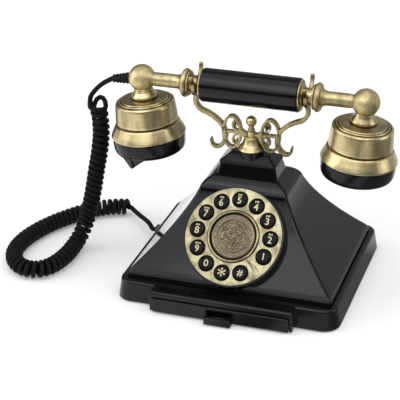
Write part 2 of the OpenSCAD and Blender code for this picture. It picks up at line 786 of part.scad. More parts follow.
module finial() {
    // The hub that the arms meet, and the ball knob on it, turned in one piece
    knob_r = 4.3;
    knob_z = hub_h + 9.5;
    color("#b29a5e") at_post() translate([0, 0, hub_z]) difference() {
        union() {
            rotate_extrude() polygon([
                [0, 0], [5.9, 0], [6.1, 0.5], [5.6, 1], [hub_r + 0.1, 1.2], [hub_r, 1.3], [hub_r, hub_h],
                [hub_r - 0.4, hub_h + 0.6], [2.9, hub_h + 2], [2.3, hub_h + 3.6], [2.1, hub_h + 5],
                [2.4, hub_h + 6.2],
                [0, hub_h + 6.2]
            ]);
            translate([0, 0, knob_z]) sphere(r = knob_r);
        }
        translate([0, 0, -1]) cylinder(r = stem_r + seat_gap, h = hub_h + seat_gap);
    }
}

// One cast arm, on the right: crossbar, oval ring with its leaf and scrolls, S-bar and fork
module cradle_arm() {
    path = smooth(bar_points, 4);
    last = len(path) - 1;
    bar = [for (p = path) [fork_x + p[0], p[1]]];
    mid = ring_at[1];
    rim = ring_rim / 2;
    oval = [for (k = [0:ring_steps - 1]) let (a = 360 * k / ring_steps)
        [ring_at[0] + ring_size[0] * cos(a), mid + ring_size[1] * sin(a)]];
    hole = [for (k = [0:ring_steps - 1]) let (a = 360 * k / ring_steps)
        [ring_at[0] + (ring_size[0] - ring_rim) * cos(a), mid + (ring_size[1] - ring_rim) * sin(a)]];
    inner = ring_at[0] - ring_size[0] + rim;
    scroll = smooth([
        [inner, 0.6], [inner + 3.8, 1.9], [inner + 6.4, 5], [inner + 6.1, 8.2], [inner + 3.9, 9]], 3);
    leaf = [[inner, 0.9], [inner + 5, 1.2], [inner + 10, 1.9], [inner + 2 * ring_size[0] - ring_rim, 0],
        [inner + 10, -1.9], [inner + 5, -1.2], [inner, -0.9]];
    bar_z = hub_z - axis_z;
    color("#b29a5e") at_axis() {
        difference() {
            rotate([90, 0, 0]) translate([0, 0, -arm_t / 2]) linear_extrude(arm_t) {
                polygon(band(bar, [for (k = [0:last])
                    k < last * 0.75 ? bar_w : bar_w - 1.4 * (k / last - 0.75) * 4]));
                difference() {
                    polygon(oval);
                    polygon(hole);
                }
                for (s = [-1, 1])
                    polygon(band([for (p = scroll) [p[0], mid + s * p[1]]], [for (p = scroll) 1.7]));
                polygon([for (p = leaf) [p[0], mid + p[1]]]);
                polygon([
                    [0, bar_z + 1.4], [hub_r + 2.8, bar_z + 1.3], [inner, bar_z - 0.6], [inner, bar_z + 6.4],
                    [hub_r + 1, bar_z + hub_h - 0.4], [0, bar_z + hub_h - 0.4]]);
            }
            translate([0, 0, bar_z - 5]) cylinder(r = hub_r + seat_gap, h = 20);
            translate([-20, -20, bar_z - 10]) cube([20, 40, 40]);
        }
        translate([fork_x - fork_w / 2, 0, 0]) rotate([90, 0, 90]) fork();
    }
}

// The fork in its own plane: X across the handset, Y up, drawn from the collar's centre
module fork() {
    difference() {
        union() {
            cylinder(r = fork_r + prong_t, h = fork_w);
        }
        translate([0, 0, -1]) cylinder(r = fork_r, h = fork_w + 2);
        translate([-20, 0, -1]) cube([40, 40, fork_w + 2]);
    }
    for (s = [-1, 1]) {
        top = s > 0 ? prong_back : prong_front;
        linear_extrude(fork_w) polygon([
            [s * fork_r, -eps], [s * (fork_r + prong_t), -eps],
            [s * (fork_r + prong_t + prong_lean - 0.6), top],
            [s * (fork_r + prong_lean + 0.2), top]
        ]);
    }
}

module cradle_arm_right() {
    cradle_arm();
}

module cradle_arm_left() {
    mirror([1, 0, 0]) cradle_arm();
}

// ---------- handset ----------

module grip() {
    edge = 0.7;
    color("#161618") at_axis() rotate([0, 90, 0]) rotate_extrude() polygon([
        [grip_bore + seat_gap, -grip_end], [grip_r - edge, -grip_end], [grip_r, -grip_end + edge],
        [grip_r, grip_end - edge], [grip_r - edge, grip_end], [grip_bore + seat_gap, grip_end]
    ]);
}

module grip_tube() {
    color("silver") at_axis() rotate([0, 90, 0]) translate([0, 0, -grip_end]) difference() {
        cylinder(r = grip_bore, h = 2 * grip_end);
        translate([0, 0, -1]) cylinder(r = rod_bore, h = 2 * grip_end + 2);
    }
}

module end_collars() {
    start = grip_end + seat_gap;
    color("#b8a26a") both_ends() rotate([0, 90, 0]) rotate_extrude() polygon([
        [rod_bore, start], [grip_r - 1.3, start], [grip_r - 1, start + 0.5], [grip_r - 1.4, start + 1.3],
        [grip_r - 3.6, start + 1.7], [grip_r - 4.6, start + 2.6], [collar_r + 0.4, collar_start - 0.3],
        [collar_r, collar_start], [collar_r, collar_end], [rod_bore, collar_end]
    ]);
}

module arm_tubes() {
    start = collar_end + seat_gap;
    color("#b8a26a") both_ends() rotate([0, 90, 0]) rotate_extrude() polygon([
        [rod_bore, start], [flange_r - 2.2, start], [flange_r - 1, start + 0.4],
        [flange_r - 0.7, start + 1.2],
        [flange_r - 1, start + 1.9], [flange_r - 1.7, start + 2.2], [flange_r - 0.6, start + 2.7],
        [flange_r, start + 3.6], [flange_r - 0.2, start + 4.6], [flange_r - 1.2, start + 5.6],
        [rod_r + 2.2, flange_end], [rod_r + 0.6, flange_end + 1.6], [rod_r, flange_end + 3.4],
        [rod_r, ball_x - ball_r + rod_into_ball], [rod_bore, ball_x - ball_r + rod_into_ball]
    ]);
}

module ball_joints() {
    color("#b8a26a") for (side = [-1, 1]) difference() {
        at_cup(side) sphere(r = ball_r);
        at_cup(side) sphere(r = ball_r - 2.2);
        at_axis() translate([side * (ball_x - ball_r - 1), 0, 0]) rotate([0, side * 90, 0])
            cylinder(r = rod_r + seat_gap, h = rod_into_ball + 1 + seat_gap);
    }
}

module cup_shells() {
    foot = top_s + 3;
    color("#b8a26a") for (side = [-1, 1]) at_cup(side) difference() {
        rotate_extrude() polygon([
            [3, -neck_s], [7.2, -neck_s], [7.4, -neck_s - 1.6], [8.6, -neck_s - 3.6], [10.2, -neck_s - 5.4],
            [10.5, -neck_s - 7], [10, -top_s], [19.8, -top_s - 0.3], [20.8, -top_s - 1], [21, -top_s - 1.8],
            [body_r - 2, -top_s - 2], [body_r - 0.9, -foot + 0.2], [body_r - 0.4, -foot - 1.2],
            [body_r, -seam_s], [body_r - cup_wall, -seam_s], [body_r - cup_wall - 0.4, -foot - 3],
            [3, -foot - 3]
        ]);
        sphere(r = ball_r + seat_gap);
    }
}

module cup_rings() {
    color("#b8a26a") for (side = [-1, 1]) at_cup(side) rotate_extrude() polygon([
        [body_r - cup_wall, -seam_s - seat_gap], [body_r - 0.5, -seam_s - seat_gap],
        [body_r - 0.3, -seam_s - 0.7], [body_r + 0.5, -seam_s - 1.1], [cup_r - 1.6, -ring_s + 4.4],
        [cup_r - 0.3, -ring_s + 2.2], [cup_r, -ring_s + 1.3],
        [cup_r - 0.2, -ring_s + 0.4], [cup_r - 0.7, -ring_s], [body_r - cup_wall, -ring_s]
    ]);
}

// The black cap that closes a cup; holes in it let the sound through
module cup_cap() {
    start = ring_s + seat_gap;
    difference() {
        rotate_extrude() polygon([
            [cap_r - cup_wall - 0.6, -start], [cap_r, -start], [cap_r + 0.1, -start - 3],
            [cap_r - 0.4, -face_s + 4],
            [cap_r - 1.6, -face_s + 1.4], [cap_r - 3.4, -face_s], [0, -face_s + 0.8], [0, -face_s + 3.2],
            [cap_r - cup_wall - 2, -face_s + 3.2], [cap_r - cup_wall - 0.6, -face_s + 5]
        ]);
        for (k = [0:6]) rotate([0, 0, 60 * k]) translate([k == 6 ? 0 : 5, 0, -face_s - 1])
            cylinder(r = 1.1, h = 6);
    }
}

module ear_cap() {
    color("#161618") at_cup(1) cup_cap();
}

module mouth_cap() {
    // A pointed tongue, cut from a funnel, stands on the cap's edge and guides the voice
    hood_wall = 2;
    top_r = cap_r - 1.8;
    root = face_s - 1.5;
    color("#161618") at_cup(-1) {
        cup_cap();
        rotate([0, 0, hood_turn]) intersection() {
            difference() {
                translate([0, 0, -hood_s]) cylinder(r1 = hood_r, r2 = top_r, h = hood_s - root);
                translate([0, 0, -hood_s - eps])
                    cylinder(r1 = hood_r - hood_wall, r2 = top_r - hood_wall, h = hood_s - root + 2 * eps);
            }
            rotate([90, 0, -90]) linear_extrude(2 * hood_r)
                polygon([[-hood_w[0], -root], [-1.2, -hood_s], [1.2, -hood_s], [hood_w[1], -root]]);
        }
    }
}

module receiver() {
    color("#3a3a3d") at_cup(1) translate([0, 0, -face_s + 3.2 + seat_gap]) difference() {
        cylinder(r = 20, h = 9);
        translate([0, 0, -1]) cylinder(r = 8, h = 2);
    }
}

module microphone() {
    color("#3a3a3d") at_cup(-1) translate([0, 0, -face_s + 3.2 + seat_gap]) difference() {
        cylinder(r = 14, h = 7);
        translate([0, 0, -1]) cylinder(r = 8, h = 2);
    }
}

// ---------- cord ----------

boot_from = ball_r + seat_gap;

module at_boot() {
    at_axis() translate([-ball_x, 0, 0]) rotate([0, 270 - boot_droop, 0]) children();
}

module strain_relief() {
    ribs = 5;
    pitch = (boot_len - 2.4) / ribs;
    shrink = (boot_r - boot_tip_r - 0.4) / ribs;
    start = [[0, 8.8], [boot_r - 0.6, 8.8], [boot_r - 0.2, ball_r + 1]];
    rows = [for (k = [0:ribs - 1]) let (s = ball_r + 1.2 + k * pitch, r = boot_r - k * shrink)
        each [[r, s], [r, s + pitch - 0.7], [r - 0.7, s + pitch - 0.6], [r - 0.7, s + pitch - 0.1]]];
    color("#101010") at_boot() difference() {
        rotate_extrude() polygon(concat(start, rows, [[boot_tip_r, ball_r + boot_len - 0.6],
            [boot_tip_r - 0.4, ball_r + boot_len], [0, ball_r + boot_len]]));
        sphere(r = boot_from);
    }
}

// A point on the strain relief's axis, so far from the ball's centre
function on_boot(s) = [-ball_x - s * cos(boot_droop), 0, axis_z - s * sin(boot_droop)];

boot_end = ball_r + boot_len;

module cord_lead() {
    // It leaves the strain relief straight
    start = [on_boot(boot_end + 3 * free_gap), on_boot(boot_end + 3 * free_gap + cord_r)];
    color("#0c0c0c") at_post() tube(smooth(concat(start, lead_points), 2), cord_r, 8);
}

module cord_curl() {
    color("#0c0c0c") at_post() tube(smooth(curl_points, 2), curl_r, 12);
}

plug_end = [-tray_w / 2 - tray_draft / 2 - plug_out, jack_y, jack_z];

module cord_tail() {
    // It enters the plug straight
    end = [plug_end - [1.4 * cord_r, 0, 0], plug_end - [free_gap, 0, 0]];
    color("#0c0c0c") at_post() tube(smooth(concat(tail_points, end), 2), cord_r, 8);
}

module handset_plug() {
    from = plug_end[0];
    into = -tray_w / 2 + plug_in;
    color("#2b2b2d") at_post() translate([from, jack_y - plug_size[0] / 2, jack_z - plug_size[1] / 2])
        cube([into - from, plug_size[0], plug_size[1]]);
}

housing();
neck_cap();
cradle_bell();
tray();
base_plate();
drawer_compartment();
rubber_feet();
base_screws();
dial_plate();
dial_ring();
medallion();
finger_stop();
key_carrier();
keypad_mat();
keypad_board();
main_board();
sounder();
ballast();
stem_bracket();
lever_pin();
hook_switch();
cradle_spring();
cord_jacks();
drawer();
drawer_pull();
key_named("1");  // key_1
key_named("2");  // key_2
key_named("3");  // key_3
key_named("4");  // key_4
key_named("5");  // key_5
key_named("6");  // key_6
key_named("7");  // key_7
key_named("8");  // key_8
key_named("9");  // key_9
key_named("0");  // key_0
key_named("star");  // key_star
key_named("hash");  // key_hash
cradle_stem();
stem_clip();
finial();
cradle_arm_left();
cradle_arm_right();
hook_lever();
grip();
grip_tube();
end_collars();
arm_tubes();
ball_joints();
cup_shells();
cup_rings();
ear_cap();
mouth_cap();
receiver();
microphone();
strain_relief();
cord_lead();
cord_curl();
cord_tail();
handset_plug();
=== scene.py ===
"""Desk telephone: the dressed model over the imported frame. Sizes are in millimetres until a mesh is made."""

import math

import bmesh
import bpy
from bpy.props import FloatProperty, FloatVectorProperty, IntProperty, PointerProperty
from mathutils import Matrix, Vector


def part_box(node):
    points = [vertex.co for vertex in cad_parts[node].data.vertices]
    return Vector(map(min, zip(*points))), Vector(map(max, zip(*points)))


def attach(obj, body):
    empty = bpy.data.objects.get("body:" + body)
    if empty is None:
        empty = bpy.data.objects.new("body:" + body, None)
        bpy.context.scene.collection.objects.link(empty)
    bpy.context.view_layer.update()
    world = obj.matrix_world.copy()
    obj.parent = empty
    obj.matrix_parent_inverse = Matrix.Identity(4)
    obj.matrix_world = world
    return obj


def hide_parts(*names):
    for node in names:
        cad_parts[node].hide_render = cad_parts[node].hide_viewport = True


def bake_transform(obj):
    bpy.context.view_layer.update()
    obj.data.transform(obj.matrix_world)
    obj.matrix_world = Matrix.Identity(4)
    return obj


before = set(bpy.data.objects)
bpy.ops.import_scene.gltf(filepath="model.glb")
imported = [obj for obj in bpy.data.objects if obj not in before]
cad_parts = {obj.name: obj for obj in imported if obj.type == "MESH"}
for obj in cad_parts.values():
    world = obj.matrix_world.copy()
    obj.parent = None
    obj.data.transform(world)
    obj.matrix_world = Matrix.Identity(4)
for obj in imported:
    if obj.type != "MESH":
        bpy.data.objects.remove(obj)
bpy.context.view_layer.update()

bl_info = {
    "name": "Desk Telephone",
    "version": (1, 0, 0),
    "blender": (4, 5, 0),
    "location": "View3D > Sidebar > Telephone",
    "description": "Builds a push-button desk telephone with a scroll cradle and a curly cord",
    "category": "Object",
}

MM = 0.001


def node_box(node):
    """Lowest and highest corner of a frame node, in millimetres."""
    low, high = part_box(node)
    return Vector(low) / MM, Vector(high) / MM


def node_middle(node):
    low, high = node_box(node)
    return (low + high) / 2


# ---------- sizes shared by several pieces ----------

POST_Y = node_middle("cradle_stem").y
AXIS_Z = node_middle("grip").z
BALL_R = (node_box("ball_joints")[1].z - node_box("ball_joints")[0].z) / 2
BALL_X = node_box("ball_joints")[1].x - BALL_R
GRIP_END = node_box("grip")[1].x
GRIP_R = (node_box("grip")[1].z - node_box("grip")[0].z) / 2
CUP_TILT = math.radians(5)
COLLAR_R = 6.5
COLLAR_FROM = 42.5
COLLAR_TO = 48.7
FLANGE_R = 11.4
ROD_R = 5.5
TRAY_W, TRAY_D, TRAY_H = 174.0, 148.0, 17.4
TRAY_DRAFT, TRAY_CORNER, WALL = 2.4, 11.0, 2.6
FOOT_Z = 1.0
FRAME_W, FRAME_REACH = 114.0, 10.3
PANEL_W, PANEL_H, PANEL_Z, PANEL_T = 108.6, 11.2, 1.2, 3.0
PANEL_Y = TRAY_D / 2 + FRAME_REACH + 2
DRAWER_LEN = 104.0
PULL_W, PULL_REACH, PULL_H, PULL_FLOOR = 21.0, 6.0, 6.0, 2.4
FOOT_W, FOOT_D = 164.6, 131.6
NECK_W, NECK_D, NECK_Z = 49.0, 28.0, 90.6
NECK_TOP = NECK_Z + 10.2
NECK_TOP_W, NECK_TOP_D = 44.6, 23.6
CAP_TOP = NECK_TOP + 4.8
SEAT_TOP = CAP_TOP + 2.9
BELL_H = 9.3
DIAL_R, DIAL_TILT, DIAL_FWD, DIAL_Z = 38.2, 51.3, 48.6, 55.9
KEY_CIRCLE, KEY_R, KEY_STEP = 29.2, 5.9, 28.8
KEY_HOLE_R = KEY_R + 0.3
MEDAL_R, BEAD_W = 17.2, 3.2
HUB_Z = SEAT_TOP + BELL_H + 0.5
FORK_X, FORK_W = 44.5, 3.2
ARM_T = 5.4
CORD_R, CURL_R = 2.0, 7.2
BOOT_DROP, BOOT_LEN = 8.0, 25.0
JACK_Y, LINE_X, JACK_Z = 29.0, 28.0, 8.7
HOOD_S, HOOD_R, HOOD_W, HOOD_TURN = 68.8, 23.4, (4.8, 15.5), math.radians(66)

POST = Matrix.Translation((0, POST_Y, 0))
DIAL = POST @ Matrix.Translation((0, -DIAL_FWD, DIAL_Z)) @ Matrix.Rotation(math.radians(DIAL_TILT), 4, "X")
AXIS = POST @ Matrix.Translation((0, 0, AXIS_Z))
BOOT = AXIS @ Matrix.Translation((-BALL_X, 0, 0)) @ Matrix.Rotation(math.radians(270 - BOOT_DROP), 4, "Y")


def end_frame(side):
    """One end of the handset: local Z runs out along the handset's axis."""
    return AXIS @ Matrix.Rotation(side * math.pi / 2, 4, "Y")


def cup_frame(side):
    """A cup's own frame: zero at the ball's centre, local -Z towards the open face."""
    return AXIS @ Matrix.Translation((side * BALL_X, 0, 0)) @ Matrix.Rotation(side * CUP_TILT, 4, "Y")


# ---------- properties ----------

class TelephoneColours(bpy.types.PropertyGroup):
    """Colours of the telephone's finishes"""

    plastic: FloatVectorProperty(
        name="Plastic", description="Polished black plastic", subtype="COLOR", size=3, default=(0.004, 0.004, 0.0048))
    brass: FloatVectorProperty(
        name="Brass", description="Antique brass where it is rubbed bright", subtype="COLOR", size=3,
        default=(0.52, 0.435, 0.24))
    # Brown of tarnish, and of painted shade in the brass's hollows
    patina_and_shade: FloatVectorProperty(
        name="Patina", description="Brown that stays in the brass's grooves", subtype="COLOR", size=3,
        default=(0.050, 0.036, 0.014))
    medallion: FloatVectorProperty(
        name="Medallion", description="Greyer brass of the medallion", subtype="COLOR", size=3,
        default=(0.17, 0.14, 0.092))
    key: FloatVectorProperty(
        name="Key", description="Dark keys", subtype="COLOR", size=3, default=(0.006, 0.005, 0.005))
    mark: FloatVectorProperty(
        name="Mark", description="Digits on the keys", subtype="COLOR", size=3, default=(0.4464, 0.3968, 0.248))
    cord: FloatVectorProperty(
        name="Cord", description="Cord jacket", subtype="COLOR", size=3, default=(0.0035, 0.0035, 0.004))


class TelephoneSizes(bpy.types.PropertyGroup):
    """Sizes that change how the telephone's pieces are finished"""

    ridge: FloatProperty(
        name="Ridge radius", description="Rounding of the housing's four ridges", subtype="DISTANCE", unit="LENGTH",
        default=2.4 * MM, min=0.5 * MM, max=5 * MM)
    curl_turns: FloatProperty(
        name="Curl turns", description="Turns of the curly cord", default=72.0, min=10, max=100)
    boot_ribs: IntProperty(
        name="Boot ribs", description="Ribs of the cord's strain relief", default=5, min=2, max=12)
    mark_height: FloatProperty(
        name="Mark height", description="Height of the digits on the keys", subtype="DISTANCE", unit="LENGTH",
        default=5.6 * MM, min=3 * MM, max=8 * MM)


class TelephoneStage(bpy.types.PropertyGroup):
    """Light around the telephone"""

    overhead: FloatProperty(
        name="Overhead", description="Power of the large overhead lamp", subtype="POWER", default=10.0)
    side: FloatProperty(name="Side", description="Power of the side lamps", subtype="POWER", default=5.0)
    ambient: FloatProperty(name="Ambient", description="Light from all around", default=0.45, min=0, max=2)


# ---------- mesh helpers ----------

def add_object(name, data):
    """A new object of the scene, at the origin."""
    obj = bpy.data.objects.new(name, data)
    bpy.context.scene.collection.objects.link(obj)
    return obj

def turns(steps):
    """The angles of a full turn, in equal steps."""
    return [2 * math.pi * k / steps for k in range(steps)]

def finish_mesh(bm, name, place=None, sharp=40, keep_normals=False):
    """Turns a bmesh in millimetres into a smooth-shaded object in metres, with sharp creases kept."""
    if place is not None:
        bmesh.ops.transform(bm, matrix=place, verts=bm.verts)
    bmesh.ops.scale(bm, vec=(MM, MM, MM), verts=bm.verts)
    if not keep_normals:
        bmesh.ops.recalc_face_normals(bm, faces=bm.faces)
    mesh = bpy.data.meshes.new(name)
    bm.to_mesh(mesh)
    bm.free()
    mesh.shade_smooth()
    mesh.set_sharp_from_angle(angle=math.radians(sharp))
    return add_object(name, mesh)


def bake(obj):
    """Replaces an object's mesh by its evaluated one and drops its modifiers."""
    bpy.context.view_layer.update()
    mesh = bpy.data.meshes.new_from_object(obj.evaluated_get(bpy.context.evaluated_depsgraph_get()))
    obj.modifiers.clear()
    old = obj.data
    obj.data = mesh
    if isinstance(old, bpy.types.Mesh) and not old.users:
        bpy.data.meshes.remove(old)
    return obj


def boolean(obj, other, operation):
    """Joins another closed mesh to obj, or cuts it out, and deletes the other."""
    step = obj.modifiers.new("cut", "BOOLEAN")
    step.operation = operation
    step.solver = "EXACT"
    step.object = other
    bake(obj)
    bpy.data.objects.remove(other)
    return obj


def bevel(obj, width, segments=2, angle=35):
    """Rounds the sharp edges of a closed mesh and evens out the shading."""
    step = obj.modifiers.new("edges", "BEVEL")
    step.width = width * MM
    step.segments = segments
    step.limit_method = "ANGLE"
    step.angle_limit = math.radians(angle)
    step.use_clamp_overlap = True
    step.harden_normals = False
    bake(obj)
    obj.data.shade_smooth()
    obj.data.set_sharp_from_angle(angle=math.radians(50))
    return even_normals(obj)


def even_normals(obj):
    """Large flat faces keep flat reflections next to small rounded ones."""
    step = obj.modifiers.new("normals", "WEIGHTED_NORMAL")
    step.keep_sharp = True
    step.weight = 80
    return bake(obj)


def join(name, objects):
    """Joins objects into one mesh object."""
    bm = bmesh.new()
    for obj in objects:
        bm.from_mesh(obj.data)
        bpy.data.objects.remove(obj)
    mesh = bpy.data.meshes.new(name)
    bm.to_mesh(mesh)
    bm.free()
    return add_object(name, mesh)


def loft(name, rings, place=None, sharp=40, cap=True):
    """A closed solid through rings of as many points each, lowest first."""
    bm = bmesh.new()
    rows = [[bm.verts.new(p) for p in ring] for ring in rings]
    count = len(rows[0])
    for low, high in zip(rows, rows[1:]):
        for i in range(count):
            j = (i + 1) % count
            bm.faces.new((low[i], low[j], high[j], high[i]))
    if cap:
        bm.faces.new(list(reversed(rows[0])))
        bm.faces.new(rows[-1])
    return finish_mesh(bm, name, place, sharp)


def corner_arc(a, b, c, radius, steps=3):
    """Points that round the corner b between a and c, in a plane."""
    a, b, c = Vector(a), Vector(b), Vector(c)
    u, v = (a - b), (c - b)
    if u.length < 1e-6 or v.length < 1e-6:
        return [tuple(b)]
    room = min(radius, u.length * 0.48, v.length * 0.48)
    start, end = b + u.normalized() * room, b + v.normalized() * room
    points = []
    for k in range(steps + 1):
        t = k / steps
        points.append(tuple((1 - t) ** 2 * start + 2 * t * (1 - t) * b + t * t * end))
    return points


def softened(profile, radius=0.4, closed=False, steps=3):
    """A profile with its corners rounded."""
    points = []
    count = len(profile)
    for i, p in enumerate(profile):
        if not closed and i in (0, count - 1):
            points.append(tuple(p))
        else:
            points.extend(corner_arc(profile[i - 1], p, profile[(i + 1) % count], radius, steps))
    return points


def divided(profile, step=1.1, closed=False):
    """A profile with points added on its long stretches."""
    points = []
    count = len(profile)
    for i, p in enumerate(profile):
        points.append(p)
        if i == count - 1 and not closed:
            break
        q = profile[(i + 1) % count]
        parts = max(1, math.ceil(math.hypot(q[0] - p[0], q[1] - p[1]) / step))
        points.extend((p[0] + (q[0] - p[0]) * k / parts, p[1] + (q[1] - p[1]) * k / parts) for k in range(1, parts))
    return points


def revolve(bm, rows, closed=False):
    """Faces between rows of points that go round an axis. A row of one point lies on it."""
    steps = max(len(row) for row in rows)
    pairs = list(zip(rows, rows[1:]))
    if closed:
        pairs.append((rows[-1], rows[0]))
    for a, b in pairs:
        if len(a) == 1 and len(b) == 1:
            continue
        for k in range(steps):
            j = (k + 1) % steps
            if len(a) == 1:
                bm.faces.new((a[0], b[k], b[j]))
            elif len(b) == 1:
                bm.faces.new((a[k], b[0], a[j]))
            else:
                bm.faces.new((a[k], b[k], b[j], a[j]))

def lathe(name, profile, place, steps=96, closed=False):
    """Turns a profile of (radius, height) about local Z. An open profile starts and ends on the axis."""
    bm = bmesh.new()
    rows = [[bm.verts.new((r * math.cos(a), r * math.sin(a), z)) for a in turns(steps)] if r >= 1e-6
            else [bm.verts.new((0, 0, z))] for r, z in profile]
    revolve(bm, rows, closed)
    return finish_mesh(bm, name, place, sharp=50)

def ring_section(inner, outer, low, high):
    """The profile of a flat ring."""
    return [(inner, low), (outer, low), (outer, high), (inner, high)]

def ball(name, centre, radius, place, steps=48):
    half = steps // 2
    profile = [(radius * math.sin(math.pi * k / half), centre - radius * math.cos(math.pi * k / half))
               for k in range(half + 1)]
    profile[0], profile[-1] = (0, profile[0][1]), (0, profile[-1][1])
    return lathe(name, profile, place, steps)


def from_curve(name, curve, place, merge, sharp):
    """The closed mesh of a flat curve or of characters, put in its place."""
    temp = add_object(name, curve)
    bpy.context.view_layer.update()
    mesh = bpy.data.meshes.new_from_object(temp.evaluated_get(bpy.context.evaluated_depsgraph_get()))
    bpy.data.objects.remove(temp)
    bm = bmesh.new()
    bm.from_mesh(mesh)
    bmesh.ops.scale(bm, vec=(1 / MM, 1 / MM, 1 / MM), verts=bm.verts)
    bmesh.ops.remove_doubles(bm, verts=bm.verts, dist=merge)
    return finish_mesh(bm, name, place, sharp)

def plate(name, outlines, thickness, place, rounding=0.5, steps=3):
    """A flat shape with holes, cut from a sheet centred on local Z = 0, its edges rounded."""
    curve = bpy.data.curves.new(name, "CURVE")
    curve.dimensions = "2D"
    curve.fill_mode = "BOTH"
    for outline in outlines:
        spline = curve.splines.new("POLY")
        spline.points.add(len(outline) - 1)
        for point, xy in zip(spline.points, outline):
            point.co = (xy[0] * MM, xy[1] * MM, 0, 1)
        spline.use_cyclic_u = True
    curve.extrude = (thickness / 2 - rounding) * MM
    curve.bevel_depth = rounding * MM
    curve.offset = -rounding * MM
    curve.bevel_resolution = steps
    return even_normals(from_curve(name, curve, place, 0.001, 60))

def block(name, low, high, place=None):
    bm = bmesh.new()
    bmesh.ops.create_cube(bm, size=1)
    low, high = Vector(low), Vector(high)
    size = high - low
    for v in bm.verts:
        v.co = Vector((v.co.x * size.x, v.co.y * size.y, v.co.z * size.z)) + (low + high) / 2
    return finish_mesh(bm, name, place)

def tube(name, path, radius, sides=10, up=(0, 1, 0)):
    """A closed round tube along points."""
    points = [Vector(p) for p in path]
    rings = []
    normal = Vector(up)
    for i, p in enumerate(points):
        tangent = (points[min(i + 1, len(points) - 1)] - points[max(i - 1, 0)]).normalized()
        normal = (normal - normal.dot(tangent) * tangent).normalized()
        side = tangent.cross(normal)
        rings.append([p + radius * (math.cos(a) * normal + math.sin(a) * side) for a in turns(sides)])
    return loft(name, rings)

def smooth(points, steps):
    """Points of the smooth curve through given points."""
    p = [Vector(q) for q in points]
    out = []
    for i in range(len(p) - 1):
        a, b, c, d = p[max(i - 1, 0)], p[i], p[i + 1], p[min(i + 2, len(p) - 1)]
        for k in range(steps):
            u = k / steps
            out.append(0.5 * (2 * b + (c - a) * u + (2 * a - 5 * b + 4 * c - d) * u * u
                              + (3 * b - a - 3 * c + d) * u ** 3))
    out.append(p[-1])
    return out


def bezier(p, t):
    return [(1 - t) ** 2 * a + 2 * t * (1 - t) * b + t * t * c for a, b, c in zip(*p)]


def rounded_ring(half_w, half_d, r, z, steps=6):
    """A rounded rectangle's points at one height, anticlockwise."""
    points = []
    for sx, sy, turn in ((1, 1, 0), (-1, 1, 90), (-1, -1, 180), (1, -1, 270)):
        for k in range(steps + 1):
            a = math.radians(turn + 90 * k / steps)
            points.append((sx * (half_w - r) + r * math.cos(a), sy * (half_d - r) + r * math.sin(a), z))
    return points


def mark_hollows(obj, reach=0.0012):
    """Stores in each point how hollow (above 0.5) or how edge-like (below 0.5) the surface is there."""
    mesh = obj.data
    bm = bmesh.new()
    bm.from_mesh(mesh)
    bm.normal_update()
    values = []
    for v in bm.verts:
        bend = 0.0
        for e in v.link_edges:
            along = e.other_vert(v).co - v.co
            length = along.length
            if length > 1e-9:
                bend += v.normal.dot(along / length) * min(1.0, reach / max(length, reach * 0.25))
        values.append(bend / max(1, len(v.link_edges)))
    smoothed = list(values)
    for _ in range(3):
        smoothed = [
            0.4 * smoothed[v.index] + 0.6 * sum(smoothed[e.other_vert(v).index] for e in v.link_edges)
            / max(1, len(v.link_edges)) if v.link_edges else 0.0
            for v in bm.verts]
    bm.free()
    attribute = mesh.attributes.get("hollow") or mesh.attributes.new("hollow", "FLOAT", "POINT")
    attribute.data.foreach_set("value", [min(1.0, max(0.01, 0.5 + 2.2 * b)) for b in smoothed])
    return obj


def dress(obj, material, body, nodes=(), hollows=False):
    """Gives a finished piece its material and body, and hides the nodes that it stands for."""
    if hollows:
        mark_hollows(obj)
    obj.data.materials.clear()
    obj.data.materials.append(material)
    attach(obj, body)
    if nodes:
        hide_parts(*nodes)
    return obj


def paint_node(node, material):
    """A frame node that stays as it is gets a better material."""
    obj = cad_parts[node]
    if not obj.material_slots:
        obj.data.materials.append(material)
    for place in obj.material_slots:
        place.material = material


# ---------- shader groups ----------

def new_group(name, inputs, outputs):
    group = bpy.data.node_groups.new(name, "ShaderNodeTree")
    for label, kind, default in inputs:
        socket = group.interface.new_socket(name=label, in_out="INPUT", socket_type=kind)
        socket.default_value = default
    for label, kind in outputs:
        group.interface.new_socket(name=label, in_out="OUTPUT", socket_type=kind)
    return group, group.nodes.new("NodeGroupInput"), group.nodes.new("NodeGroupOutput")


def feed(tree, value, socket):
    """Links another node's output to a socket, or writes a plain value into it."""
    if isinstance(value, bpy.types.NodeSocket):
        tree.links.new(value, socket)
    else:
        socket.default_value = value

def noise_node(tree, vector, scale, detail=4.0, roughness=0.55):
    """The value of a noise over the surface."""
    node = tree.nodes.new("ShaderNodeTexNoise")
    for label, value in (("Vector", vector), ("Scale", scale), ("Detail", detail), ("Roughness", roughness)):
        feed(tree, value, node.inputs[label])
    return node.outputs["Fac"]

def vector_node(tree, operation, a, b=None):
    node = tree.nodes.new("ShaderNodeVectorMath")
    node.operation = operation
    tree.links.new(a, node.inputs[0])
    if b is not None:
        feed(tree, b, node.inputs["Scale"] if operation == "SCALE" else node.inputs[1])
    return node.outputs["Value"] if operation == "LENGTH" else node.outputs["Vector"]

def range_node(tree, value, from_low, from_high, to_low, to_high):
    node = tree.nodes.new("ShaderNodeMapRange")
    tree.links.new(value, node.inputs["Value"])
    for label, number in (("From Min", from_low), ("From Max", from_high), ("To Min", to_low), ("To Max", to_high)):
        node.inputs[label].default_value = number
    return node.outputs["Result"]


def math_node(tree, operation, a, b):
    node = tree.nodes.new("ShaderNodeMath")
    node.operation = operation
    for socket, value in zip(node.inputs, (a, b)):
        feed(tree, value, socket)
    return node.outputs[0]


def mix_colour(tree, factor, a, b):
    node = tree.nodes.new("ShaderNodeMix")
    node.data_type = "RGBA"
    for label, value in (("Factor", factor), ("A", a), ("B", b)):
        feed(tree, value, next(s for s in node.inputs if s.name == label and s.enabled))
    return next(s for s in node.outputs if s.enabled)


